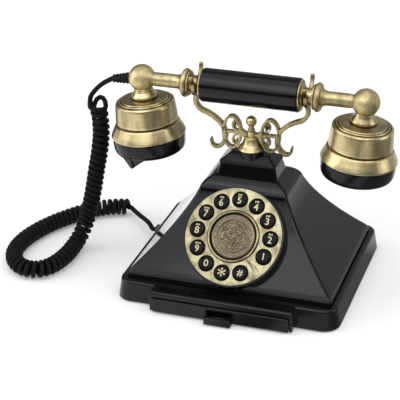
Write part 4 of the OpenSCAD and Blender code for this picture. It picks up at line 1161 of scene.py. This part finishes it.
class TELEPHONE_OT_dial(bpy.types.Operator):
    """Adds the dial's brass plate, its bead, medallion and finger stop"""

    bl_idname = "telephone.dial"
    bl_label = "Dial"

    def execute(self, context):
        holes = [circle(KEY_HOLE_R + 0.1, key_centre(i)[:2], 48) for i in range(len(KEYS))]
        face = plate("dial_face", [circle(DIAL_R, steps=160)] + holes, 1.55, DIAL @ Matrix.Translation((0, 0, -0.8)),
                     0.35, 3)
        satin = brass_material("dial_brass", bright=(0.315, 0.285, 0.185), clouds=120.0, depth=0.7,
                               brush=(0.4, 0.4, 0.4), rub_and_highlight=0.0)
        dress(face, satin, "base", ("dial_plate",), hollows=True)
        border = lathe("dial_border", softened(ring_section(36.9, 37.5, -0.1, 0.16), 0.08, True), DIAL, 160,
                       closed=True)
        dress(border, satin, "base")
        rim = MEDAL_R + BEAD_W
        # Painted shade: a near-black sheet in the groove between medallion and bead, where the bead's shadow falls
        groove = lathe("dial_groove", ring_section(MEDAL_R, MEDAL_R + 1.25, 0.03, 0.16), DIAL, 144, closed=True)
        dress(groove, groove_shade_black(), "base", ("dial_ring",))
        bead = lathe("dial_bead", softened([
            (MEDAL_R + 1.2, 0.03), (rim, 0.03), (rim, 0.5), (rim - 0.25, 1.1), (rim - 0.9, 1.65), (rim - 1.4, 1.6),
            (MEDAL_R + 1.3, 1.0)], 0.2, True, 3), DIAL, 144, closed=True)
        bead_brass = brass_material("bead_brass", bright=(0.40, 0.35, 0.2), depth=0.6, brush=(0.4, 0.4, 0.4))
        dress(bead, bead_brass, "base", ("dial_ring",))
        # Painted shade: a thin dark brown ring at the outer foot of the bead
        outline = lathe("dial_outline", ring_section(rim, rim + 0.45, 0.02, 0.1), DIAL, 144, closed=True)
        dress(outline, patina_and_shade(), "base")
        self.medallion()
        fin = self.finger_stop()
        dress(fin, satin, "base", ("finger_stop",), hollows=True)
        return {"FINISHED"}

    def medallion(self):
        bm = bmesh.new()
        rings, steps, edge_r = 62, 192, 17.15
        ground, rise, fade_w = 0.25, 0.62, 0.5
        rows = []
        for j in range(rings + 1):
            r = edge_r * j / rings
            fade = min(1.0, (edge_r - r) / fade_w)
            rows.append([bm.verts.new((x, y, ground + rise * fade * medallion_height(x, y)))
                         for x, y in circle(r, steps=steps if j else 1)])
        rows.append([bm.verts.new((x, y, 0.05)) for x, y in circle(edge_r, steps=steps)])
        revolve(bm, rows)
        bm.faces.new(list(reversed(rows[-1])))
        # Painted shade and highlight: the relief's low ground is marked hollow so it turns brown, and its raised lines
        # are marked as edges so they are brightened, where brass also wears bright
        relief_light_and_wear = [min(0.9, max(0.1, 0.60 - 0.30 * (v.co.z - ground) / rise)) for v in bm.verts]
        relief = finish_mesh(bm, "medallion_relief", DIAL, sharp=70)
        attribute = relief.data.attributes.new("hollow", "FLOAT", "POINT")
        attribute.data.foreach_set("value", relief_light_and_wear)
        colours = bpy.context.scene.telephone_colours
        dress(relief, brass_material("medallion_finish", bright=tuple(colours.medallion), brown=(0.045, 0.038, 0.027),
                                     clouds=260.0, rub_and_highlight=1.6), "base", ("medallion",))

    def finger_stop(self):
        """A fin that widens towards the rim and falls off on both sides."""
        bm = bmesh.new()
        rows = []
        start, stop, steps = MEDAL_R + BEAD_W + 1.2, DIAL_R - 1.6, 20
        for k in range(steps + 1):
            t = k / steps
            r = start + (stop - start) * t
            a = math.radians(-51 + 4.0 * math.sin(math.pi * t))
            width = 0.7 + 2.9 * t ** 1.5
            middle = Vector((r * math.cos(a), r * math.sin(a), 0))
            side = Vector((-math.sin(a), math.cos(a), 0))
            rise = 0.8 * math.sin(math.pi * min(1.0, 0.12 + 0.8 * t)) ** 0.5
            rows.append([bm.verts.new(middle + side * width * u + Vector((0, 0, 0.03 + rise * h)))
                         for u, h in ((-1, 0), (-0.7, 0.35), (-0.3, 0.6), (0.1, 0.8), (0.45, 1.0), (0.75, 0.75),
                                      (1, 0))])
        revolve(bm, rows)
        bm.faces.new(rows[0])
        bm.faces.new(list(reversed(rows[-1])))
        return finish_mesh(bm, "stop_fin", DIAL, sharp=50)


class TELEPHONE_OT_keys(bpy.types.Operator):
    """Adds the twelve keys with their digits"""

    bl_idname = "telephone.keys"
    bl_label = "Keys"

    def execute(self, context):
        height = context.scene.telephone_sizes.mark_height / MM
        pale = plain_material("key_mark", tuple(context.scene.telephone_colours.mark), 0.35, metallic=0.5, scale=2500,
                              bump=0.01, spread=0.3)
        flange = KEY_R + 0.9
        for i, (node, mark, bars) in enumerate(KEYS):
            place = DIAL @ Matrix.Translation(key_centre(i))
            cap = lathe("cap_" + node, softened([
                (0, -7.9), (2, -7.9), (2, -2.6), (flange, -2.6), (flange, -1.72), (KEY_R, -1.72), (KEY_R, -0.2),
                (KEY_R - 0.3, 0.2), (KEY_R - 1.2, 0.58), (KEY_R - 2.4, 0.8), (KEY_R * 0.35, 0.93), (0, 0.96)], 0.4),
                place, 48)
            dress(cap, key_material(), node + "_body", (node,))
            # A digit under bars sits lower, and the star is drawn larger because it is high in its line
            size, shift, bold = height, (0, 0, 0.62), 0.05
            if bars:
                shift, bold = (-0.1, -1.0, 0.62), 0.06
            elif mark == "*":
                size, shift = 2 * height, (0, -2.7, 0.62)
            marks = [text_mesh("digit", mark, size, place @ Matrix.Translation(shift), bold)]
            for k in range(bars):
                x = 1.15 * (k - (bars - 1) / 2) - 0.1
                marks.append(block("bar", (x - 0.34, 2.85, -0.05), (x + 0.34, 4.15, 0.85), place))
            dress(join("mark_" + node, marks), pale, node + "_body")
        return {"FINISHED"}

# ---------- cradle ----------

BAR_POINTS = [(0, -9), (0.2, -15), (-3.6, -20.2), (-9.5, -22.8), (-15.5, -26.2), (-20.6, -31), (-23.3, -36.8),
              (-23.5, -42.6), (-20.8, -48.2), (-16.4, -50.6), (-12.9, -48.8), (-11.9, -44.2)]
RING_AT, RING_SIZE, RING_RIM = (15.4, -36.4), (8.1, 14.2), 2.2


def band(points, widths):
    """A flat band of varying width along a line in a plane, with rounded ends."""
    left, right = [], []
    count = len(points)
    for i, p in enumerate(points):
        a, b = points[max(i - 1, 0)], points[min(i + 1, count - 1)]
        t = Vector((b[0] - a[0], b[1] - a[1])).normalized()
        n = Vector((-t.y, t.x)) * widths[i] / 2
        left.append((p[0] + n.x, p[1] + n.y))
        right.append((p[0] - n.x, p[1] - n.y))

    def round_end(i, j):
        t = Vector((points[i][0] - points[j][0], points[i][1] - points[j][1])).normalized()
        n = Vector((-t.y, t.x))
        return [(points[i][0] + widths[i] / 2 * (math.sin(a) * n.x + math.cos(a) * t.x),
                 points[i][1] + widths[i] / 2 * (math.sin(a) * n.y + math.cos(a) * t.y))
                for a in (math.radians(60), math.radians(30), 0, math.radians(-30), math.radians(-60))]

    return left + round_end(count - 1, count - 2) + list(reversed(right)) + round_end(0, 1)


class TELEPHONE_OT_cradle(bpy.types.Operator):
    """Adds the bell, the post's finial and the two scrolled arms with their forks"""

    bl_idname = "telephone.cradle"
    bl_label = "Cradle"

    def execute(self, context):
        brass = brass_material()
        bell = lathe("bell", softened([
            (2.6, 0.02), (9.9, 0.02), (10.6, 0.4), (10.6, 1.0), (9.8, 1.9), (9.6, 2.3), (8.4, 3.4), (7.2, 5.2),
            (6.4, 7), (5.8, 8.6), (5.6, 9.3), (2.6, 9.3)], 0.3, True, 3), POST @ Matrix.Translation((0, 0, SEAT_TOP)),
            96, closed=True)
        dress(bell, brass, "base", ("cradle_bell",), hollows=True)
        paint_node("cradle_stem", brass)
        hub = lathe("hub", softened([
            (2.6, 0), (5.9, 0), (6.1, 0.5), (5.6, 1), (4.2, 1.2), (3.6, 1.8), (3.6, 4.0), (3.2, 4.6), (2.9, 6.0),
            (2.3, 7.6), (2.1, 9.0), (2.4, 9.8), (2.0, 10.2), (0, 10.2), (0, 3.9), (2.6, 3.9)], 0.25, True, 3),
            POST @ Matrix.Translation((0, 0, HUB_Z)), 64, closed=True)
        knob = ball("knob", 13.5, 4.3, POST @ Matrix.Translation((0, 0, HUB_Z)))
        dress(join("finial_knob", [hub, knob]), brass, "cradle", ("finial",), hollows=True)
        for side, node in ((-1, "cradle_arm_left"), (1, "cradle_arm_right")):
            cast = brass_material("arm_brass", bright=(0.28, 0.228, 0.118), brush=(0.3, 0.3, 0.3), rub_and_highlight=0.25)
            dress(self.arm(side, node), cast, "cradle", (node,), hollows=True)
        return {"FINISHED"}

    def arm(self, side, node):
        flat = AXIS @ Matrix.Rotation(math.pi / 2, 4, "X")

        def turned(points):
            return [(side * x, z) for x, z in points]

        line = [tuple(p[:2]) for p in smooth([(FORK_X + x, z, 0) for x, z in BAR_POINTS], 8)]
        last = len(line) - 1
        widths = [3.3 if k < last * 0.7 else 3.3 - 1.9 * (k / last - 0.7) / 0.3 for k in range(last + 1)]
        pieces = [plate("bar", [turned(band(line, widths))], ARM_T, flat, 0.8, 3)]
        oval, hole = ([(RING_AT[0] + (RING_SIZE[0] - inset) * math.cos(a),
                        RING_AT[1] + (RING_SIZE[1] - inset) * math.sin(a)) for a in turns(72)]
                      for inset in (0, RING_RIM))
        pieces.append(plate("ring", [turned(oval), turned(hole)], ARM_T, flat, 0.6, 3))
        inner = RING_AT[0] - RING_SIZE[0] + RING_RIM / 2
        mid = RING_AT[1]
        for s in (-1, 1):
            scroll = [(p.x, mid + s * p.y) for p in smooth([
                (inner, 0.6, 0), (inner + 3.6, 1.7, 0), (inner + 6.0, 4.4, 0), (inner + 6.2, 7.6, 0),
                (inner + 4.7, 9.2, 0), (inner + 3.1, 8.3, 0), (inner + 3.3, 6.9, 0)], 6)]
            pieces.append(plate("scroll", [turned(band(scroll,
                                                       [2.0 - 0.6 * k / len(scroll) for k in range(len(scroll))]))],
                                4.0, flat, 0.5, 3))
        edge = [(-0.4, 1.0), (4.6, 0.9), (8.2, 1.2), (11.0, 1.1), (2 * RING_SIZE[0] - RING_RIM, 0.8)]
        leaf = [(inner + x, z) for x, z in edge] + [(inner + x, -z) for x, z in reversed(edge)]
        pieces.append(plate("leaf", [turned([(x, mid + z) for x, z in leaf])], 3.6, flat, 0.5, 3))
        bar_z = HUB_Z - AXIS_Z
        cross = [(2.9, bar_z + 1.4), (5.0, bar_z + 1.35), (inner, bar_z - 0.6), (inner, bar_z + 6.2),
                 (4.6, bar_z + 3.7), (2.9, bar_z + 3.6)]
        pieces.append(plate("crossbar", [turned(cross)], ARM_T, flat, 0.5, 3))
        pieces.append(self.fork(side))
        return join(node + "_cast", pieces)

    def fork(self, side):
        """A U that holds the collar, with the back prong taller and both leaning out."""
        spread, seat_r = 9.3, 8.1
        line = [(spread + 3.5, 11.9), (spread + 2.3, 7.6), (8.6, 3.2)]
        line += [(seat_r * math.cos(a), seat_r * math.sin(a)) for a in (math.radians(-d) for d in range(0, 181, 12))]
        line += [(-8.6, 3.0), (-spread - 2.0, 6.6), (-spread - 3.4, 9.4)]
        line = [(p.x, p.y) for p in smooth([(x, z, 0) for x, z in line], 2)]
        outline = band(line, [2.6] * len(line))
        place = AXIS @ Matrix.Translation((side * FORK_X, 0, 0)) @ Matrix.Rotation(math.pi / 2, 4, "Z") \
            @ Matrix.Rotation(math.pi / 2, 4, "X")
        return plate("fork", [outline], FORK_W, place, 0.7, 3)


# ---------- handset ----------

class TELEPHONE_OT_grip(bpy.types.Operator):
    """Adds the black grip, its collars, rods and ball joints"""

    bl_idname = "telephone.grip"
    bl_label = "Grip"

    def execute(self, context):
        r, end = GRIP_R, GRIP_END
        grip = lathe("grip_sleeve", softened([
            (4.3, -end), (r - 0.5, -end), (r, -end + 0.5), (r, -end + 2), (r, -20), (r, 0), (r, 20), (r, end - 2),
            (r, end - 0.5), (r - 0.5, end), (4.3, end)], 0.35, True, 3), end_frame(1), 128, closed=True)
        dress(grip, gloss_material("grip_gloss", 0.13, 0.05, 1.0), "handset", ("grip",))
        collars, rods, balls = [], [], []
        for side in (-1, 1):
            collars.append(lathe("collar", softened([
                (3.4, end + 0.02), (r - 1.3, end + 0.02), (r - 0.9, end + 0.5), (r - 1.0, end + 1.1),
                (r - 1.8, end + 1.5), (r - 3.2, end + 1.6), (r - 4.2, end + 2.2), (r - 4.9, end + 3.0),
                (COLLAR_R + 0.5, COLLAR_FROM - 0.4), (COLLAR_R, COLLAR_FROM), (COLLAR_R, COLLAR_TO),
                (3.4, COLLAR_TO)], 0.3, True, 3),
                end_frame(side), 96, closed=True))
            s = COLLAR_TO + 0.02
            rod_end = BALL_X - BALL_R + 3.4
            rods.append(lathe("rod", divided(softened([
                (3.4, s), (FLANGE_R - 2.6, s), (FLANGE_R - 1.7, s + 0.3), (FLANGE_R - 1.3, s + 0.9),
                (FLANGE_R - 1.7, s + 1.5), (FLANGE_R - 2.1, s + 1.7), (FLANGE_R - 0.9, s + 2.2),
                (FLANGE_R - 0.1, s + 3.1), (FLANGE_R, s + 3.9), (FLANGE_R - 0.2, s + 4.8), (FLANGE_R - 1.1, s + 5.8),
                (ROD_R + 2.6, s + 6.5), (ROD_R + 2.0, s + 6.9), (ROD_R + 1.0, s + 7.9), (ROD_R + 0.3, s + 9.4),
                (ROD_R, s + 11), (ROD_R, BALL_X - BALL_R - 0.6), (ROD_R - 0.3, BALL_X - BALL_R + 0.2), (ROD_R, rod_end),
                (3.4, rod_end)], 0.35, True, 3), 1.1, True), end_frame(side), 96, closed=True))
            balls.append(ball("joint", 0, BALL_R, cup_frame(side), 64))
        brass = brass_material()
        dress(join("grip_collars", collars), brass, "handset", ("end_collars",), hollows=True)
        turned = brass_material("turned_brass", brush=(1.0, 0.05, 0.05), satin=0.33)
        dress(join("grip_rods", rods), turned, "handset", ("arm_tubes",), hollows=True)
        dress(join("joint_balls", balls), brass_material("ball_brass", clouds=60.0, brush=(0.3, 0.3, 0.3),
                                                         satin=0.40), "handset",
              ("ball_joints",), hollows=True)
        return {"FINISHED"}


CUP_SHELL = [
    (3, -8.4), (7.2, -8.0), (7.5, -9.0), (8.2, -10.8), (9.6, -12.8), (10.2, -13.8), (10.4, -14.8), (9.8, -15.7),
    (9.9, -16.3), (14, -16.5), (18.4, -16.8), (18.8, -17.3), (18.9, -18.0), (19.5, -18.0), (19.7, -17.4),
    (20.5, -17.5), (20.9, -18.0), (21.0, -18.8), (21.6, -18.9), (21.8, -18.5), (22.8, -18.9), (23.5, -19.8),
    (23.8, -21.4), (24.1, -25), (24.5, -30), (24.85, -34.7), (24.3, -35.0), (23.3, -35.1), (22.2, -35.1), (21.6, -24),
    (3, -22.5)]
CUP_RIM = [
    (22.2, -35.7), (23.4, -35.7), (24.0, -36.1), (24.9, -36.4), (25.6, -37.0), (28.4, -42.7), (29.4, -45.0),
    (29.7, -45.9), (29.5, -46.5), (29.0, -46.85), (22.2, -46.9)]
CUP_CAP = [
    (25.9, -46.95), (28.5, -46.95), (28.75, -47.6), (28.9, -50), (28.7, -54.5), (28.3, -57.0), (27.4, -58.9),
    (26.0, -59.9), (24.5, -60.25), (20, -60.0), (8, -59.6), (0, -59.5), (0, -57.1), (24, -57.1), (25.9, -55.3)]


def cap_gloss():
    return gloss_material("cap_gloss", 0.14, 0.05, 1.2)

class TELEPHONE_OT_cups(bpy.types.Operator):
    """Adds the two bell cups, their rings and their black caps"""

    bl_idname = "telephone.cups"
    bl_label = "Cups"

    def execute(self, context):
        brass = brass_material()
        shells, rims, seams = [], [], []
        for side in (-1, 1):
            place = cup_frame(side)
            for name, profile, made in (("shell", CUP_SHELL, shells), ("rim", CUP_RIM, rims)):
                made.append(lathe(name, divided(softened(profile, 0.3, True, 3), 1.1, True), place, 144, True))
            # Painted shade: dark brown rings laid in the seam between shell and ring and in the groove near the shell's
            # back, in the colour of tarnish
            for section in (ring_section(22.3, 23.9, -35.15, -35.65), ring_section(20.9, 21.65, -18.55, -18.35)):
                seams.append(lathe("seam", section, place, 96, True))
        dress(join("cup_seams", seams), patina_and_shade(), "handset")
        dress(join("bell_cups", shells), brass, "handset", ("cup_shells",), hollows=True)
        dress(join("cup_rims", rims), brass, "handset", ("cup_rings",), hollows=True)
        gloss = cap_gloss()
        ear = join("earpiece", [self.cap(1), self.sound_holes(1)])
        dress(ear, gloss, "handset", ("ear_cap",))
        mouth = join("mouthpiece", [self.cap(-1), self.sound_holes(-1), self.hood()])
        dress(mouth, gloss, "handset", ("mouth_cap",))
        return {"FINISHED"}

    def cap(self, side):
        return lathe("cap", softened(CUP_CAP, 0.35, True, 3), cup_frame(side), 144, closed=True)

    def sound_holes(self, side):
        """The middle sound hole and the six around it, laid out by a node tree."""
        face = cup_frame(side) @ Matrix.Translation((0, 0, -59.6))
        return scatter("holes", hole_collar(), [(0, 0)] + circle(5, steps=6), face, cap_gloss())

    def hood(self):
        """A pointed tongue, cut from a funnel, that stands on the edge of the mouthpiece."""
        top_r, top, thick, low = 27.0, -58.8, 2.0, -HOOD_S
        place = cup_frame(-1) @ Matrix.Rotation(HOOD_TURN, 4, "Z")
        profile = divided([(HOOD_R - thick, low), (HOOD_R, low), (top_r, top), (top_r - thick, top)], 1.5, True)
        funnel = lathe("hood", profile, place, 144, closed=True)
        triangle = [(HOOD_W[0], top - 0.01), (1.0, low + 0.01), (-1.0, low + 0.01), (-HOOD_W[1], top - 0.01)]
        wedge = loft("wedge", [[(x, y, z) for y, z in triangle] for x in (-40, -10)], place)
        boolean(funnel, wedge, "INTERSECT")
        return bevel(funnel, 0.5, 3, 40)


def hole_collar():
    """The small rounded collar that edges one sound hole, with the dark hole inside it."""
    return lathe("collar", softened([(0, 0.05), (0.95, 0.05), (1.05, -0.25), (1.35, -0.3), (1.7, 0.05), (1.7, 0.4),
                                     (0, 0.4)],
                                    0.08, False, 2), Matrix.Identity(4), 20)


def layout_tree(name, inputs):
    """A Geometry Nodes tree with named inputs and a material: the tree, its sockets, its first and its last node."""
    tree = bpy.data.node_groups.new(name, "GeometryNodeTree")
    tree.interface.new_socket(name="Geometry", in_out="INPUT", socket_type="NodeSocketGeometry")
    sockets = {label: tree.interface.new_socket(name=label, in_out="INPUT", socket_type="NodeSocket" + kind)
               for label, kind in inputs + [("Finish", "Material")]}
    tree.interface.new_socket(name="Geometry", in_out="OUTPUT", socket_type="NodeSocketGeometry")
    return tree, sockets, tree.nodes.new("NodeGroupInput"), tree.nodes.new("NodeGroupOutput")

def end_layout(tree, source, sink, geometry):
    """Makes a tree's copies real and gives them their material."""
    real, paint = tree.nodes.new("GeometryNodeRealizeInstances"), tree.nodes.new("GeometryNodeSetMaterial")
    tree.links.new(geometry, real.inputs["Geometry"])
    tree.links.new(real.outputs["Geometry"], paint.inputs["Geometry"])
    tree.links.new(source.outputs["Finish"], paint.inputs["Material"])
    tree.links.new(paint.outputs["Geometry"], sink.inputs["Geometry"])

def lay_out(host, tree, sockets, values, place):
    """Runs a layout tree on an object and puts the plain mesh that it makes in its place."""
    step = host.modifiers.new("layout", "NODES")
    step.node_group = tree
    for label, value in values.items():
        step[sockets[label].identifier] = value
    bake(host)
    host.data.transform(Matrix.Scale(MM, 4) @ place @ Matrix.Scale(1 / MM, 4))
    host.data.shade_smooth()
    return host

def scatter(name, piece, spots, place, finish):
    """Copies of a piece on given spots, as one plain mesh. The piece itself is removed."""
    mesh = bpy.data.meshes.new(name + "_spots")
    mesh.from_pydata([(x * MM, y * MM, 0) for x, y in spots], [], [])
    tree, sockets, source, sink = layout_tree(name + "_layout", [("Piece", "Object")])
    info, copies = tree.nodes.new("GeometryNodeObjectInfo"), tree.nodes.new("GeometryNodeInstanceOnPoints")
    tree.links.new(source.outputs["Piece"], info.inputs["Object"])
    tree.links.new(source.outputs["Geometry"], copies.inputs["Points"])
    tree.links.new(info.outputs["Geometry"], copies.inputs["Instance"])
    end_layout(tree, source, sink, copies.outputs["Instances"])
    host = lay_out(add_object(name, mesh), tree, sockets, {"Piece": piece, "Finish": finish}, place)
    bpy.data.objects.remove(piece)
    return host

def ribs_tree():
    """Rings of falling size along Z, each swept from a small round section."""
    tree, sockets, source, sink = layout_tree("boot_ribs", [
        ("Ribs", "Int"), ("Start", "Float"), ("Pitch", "Float"), ("First radius", "Float"), ("Last radius", "Float"),
        ("Section", "Float")])
    nodes = tree.nodes
    line, copies = nodes.new("GeometryNodeMeshLine"), nodes.new("GeometryNodeInstanceOnPoints")
    start, step = nodes.new("ShaderNodeCombineXYZ"), nodes.new("ShaderNodeCombineXYZ")
    ring, section = nodes.new("GeometryNodeCurvePrimitiveCircle"), nodes.new("GeometryNodeCurvePrimitiveCircle")
    ring.inputs["Resolution"].default_value = 40
    ring.inputs["Radius"].default_value = 1.0
    section.inputs["Resolution"].default_value = 8
    real, sweep = nodes.new("GeometryNodeRealizeInstances"), nodes.new("GeometryNodeCurveToMesh")
    last = math_node(tree, "SUBTRACT", source.outputs["Ribs"], 1.0)
    share = math_node(tree, "DIVIDE", nodes.new("GeometryNodeInputIndex").outputs[0], last)
    fall = math_node(tree, "SUBTRACT", source.outputs["Last radius"], source.outputs["First radius"])
    radius = math_node(tree, "ADD", source.outputs["First radius"], math_node(tree, "MULTIPLY", share, fall))
    for output, socket in (
            (source.outputs["Start"], start.inputs["Z"]), (source.outputs["Pitch"], step.inputs["Z"]),
            (source.outputs["Ribs"], line.inputs["Count"]), (start.outputs[0], line.inputs["Start Location"]),
            (step.outputs[0], line.inputs["Offset"]), (line.outputs["Mesh"], copies.inputs["Points"]),
            (ring.outputs["Curve"], copies.inputs["Instance"]), (radius, copies.inputs["Scale"]),
            (copies.outputs["Instances"], real.inputs["Geometry"]),
            (source.outputs["Section"], section.inputs["Radius"]), (real.outputs["Geometry"], sweep.inputs["Curve"]),
            (section.outputs["Curve"], sweep.inputs["Profile Curve"])):
        tree.links.new(output, socket)
    end_layout(tree, source, sink, sweep.outputs["Mesh"])
    return tree, sockets

class TELEPHONE_OT_boot(bpy.types.Operator):
    """Adds the ribbed strain relief where the cord leaves the handset"""

    bl_idname = "telephone.boot"
    bl_label = "Strain relief"

    def execute(self, context):
        ribs = context.scene.telephone_sizes.boot_ribs
        core = lathe("core", softened([(0, 8.9), (4.6, 8.9), (4.8, 9.8), (4.6, 10.6), (3.5, 11.4), (3.1, 14), (2.7, 20),
                                       (2.5, 23.4), (2.4, 24.75), (0, 24.85)], 0.3), BOOT, 40)
        first, last = 12.4, 23.6
        tree, sockets = ribs_tree()
        host = lay_out(add_object("ribs", bpy.data.meshes.new("ribs")), tree, sockets, {
            "Ribs": ribs, "Start": first * MM, "Pitch": (last - first) / (ribs - 1) * MM, "First radius": 3.75 * MM,
            "Last radius": 2.55 * MM, "Section": 0.85 * MM, "Finish": rubber()}, BOOT)
        piece = join("cord_boot", [core, host])
        dress(piece, rubber(), "handset", ("strain_relief",))
        return {"FINISHED"}


# ---------- pieces inside and under the base ----------

class TELEPHONE_OT_inner(bpy.types.Operator):
    """Finishes the pieces that stay as the frame has them: plates, boards, springs and screws"""

    bl_idname = "telephone.inner"
    bl_label = "Inner pieces"

    def execute(self, context):
        black, metal = matte_black(), steel()
        green = plain_material("circuit_green", (0.03, 0.12, 0.05), 0.4, scale=300, bump=0.05, spread=0.35)
        iron = plain_material("raw_iron", (0.16, 0.16, 0.165), 0.6, metallic=0.8, scale=200, bump=0.15)
        for node in ("base_plate", "drawer_compartment", "key_carrier", "sounder", "hook_switch", "cord_jacks",
                     "receiver", "microphone", "handset_plug"):
            paint_node(node, black)
        for node in ("base_screws", "stem_bracket", "lever_pin", "stem_clip", "hook_lever", "grip_tube",
                     "cradle_spring"):
            paint_node(node, metal)
        for node in ("keypad_board", "main_board"):
            paint_node(node, green)
        paint_node("rubber_feet", rubber())
        paint_node("keypad_mat", rubber("grey_rubber", (0.22, 0.22, 0.23)))
        paint_node("ballast", iron)
        return {"FINISHED"}


# ---------- panel and registration ----------

STEPS = [TELEPHONE_OT_stage, TELEPHONE_OT_boot, TELEPHONE_OT_cords, TELEPHONE_OT_housing, TELEPHONE_OT_tray,
         TELEPHONE_OT_drawer, TELEPHONE_OT_dial, TELEPHONE_OT_keys, TELEPHONE_OT_cradle, TELEPHONE_OT_grip,
         TELEPHONE_OT_cups, TELEPHONE_OT_inner]


class TELEPHONE_PT_panel(bpy.types.Panel):
    """Lists the telephone's pieces, sizes and colours"""

    bl_idname = "TELEPHONE_PT_panel"
    bl_label = "Desk Telephone"
    bl_space_type = "VIEW_3D"
    bl_region_type = "UI"
    bl_category = "Telephone"

    def draw(self, context):
        for group in ("telephone_sizes", "telephone_colours", "telephone_stage"):
            settings = getattr(context.scene, group)
            for name in settings.bl_rna.properties.keys():
                if name not in ("rna_type", "name"):
                    self.layout.prop(settings, name)
        for step in STEPS:
            self.layout.operator(step.bl_idname)


GROUPS = {"telephone_colours": TelephoneColours, "telephone_sizes": TelephoneSizes, "telephone_stage": TelephoneStage}


def register():
    for name, group in GROUPS.items():
        bpy.utils.register_class(group)
        setattr(bpy.types.Scene, name, PointerProperty(type=group))
    for item in STEPS + [TELEPHONE_PT_panel]:
        bpy.utils.register_class(item)


def unregister():
    for item in reversed(STEPS + [TELEPHONE_PT_panel]):
        bpy.utils.unregister_class(item)
    for name, group in GROUPS.items():
        delattr(bpy.types.Scene, name)
        bpy.utils.unregister_class(group)


def main():
    register()
    for step in STEPS:
        group, name = step.bl_idname.split(".")
        getattr(getattr(bpy.ops, group), name)()


if __name__ == "__main__":
    main()
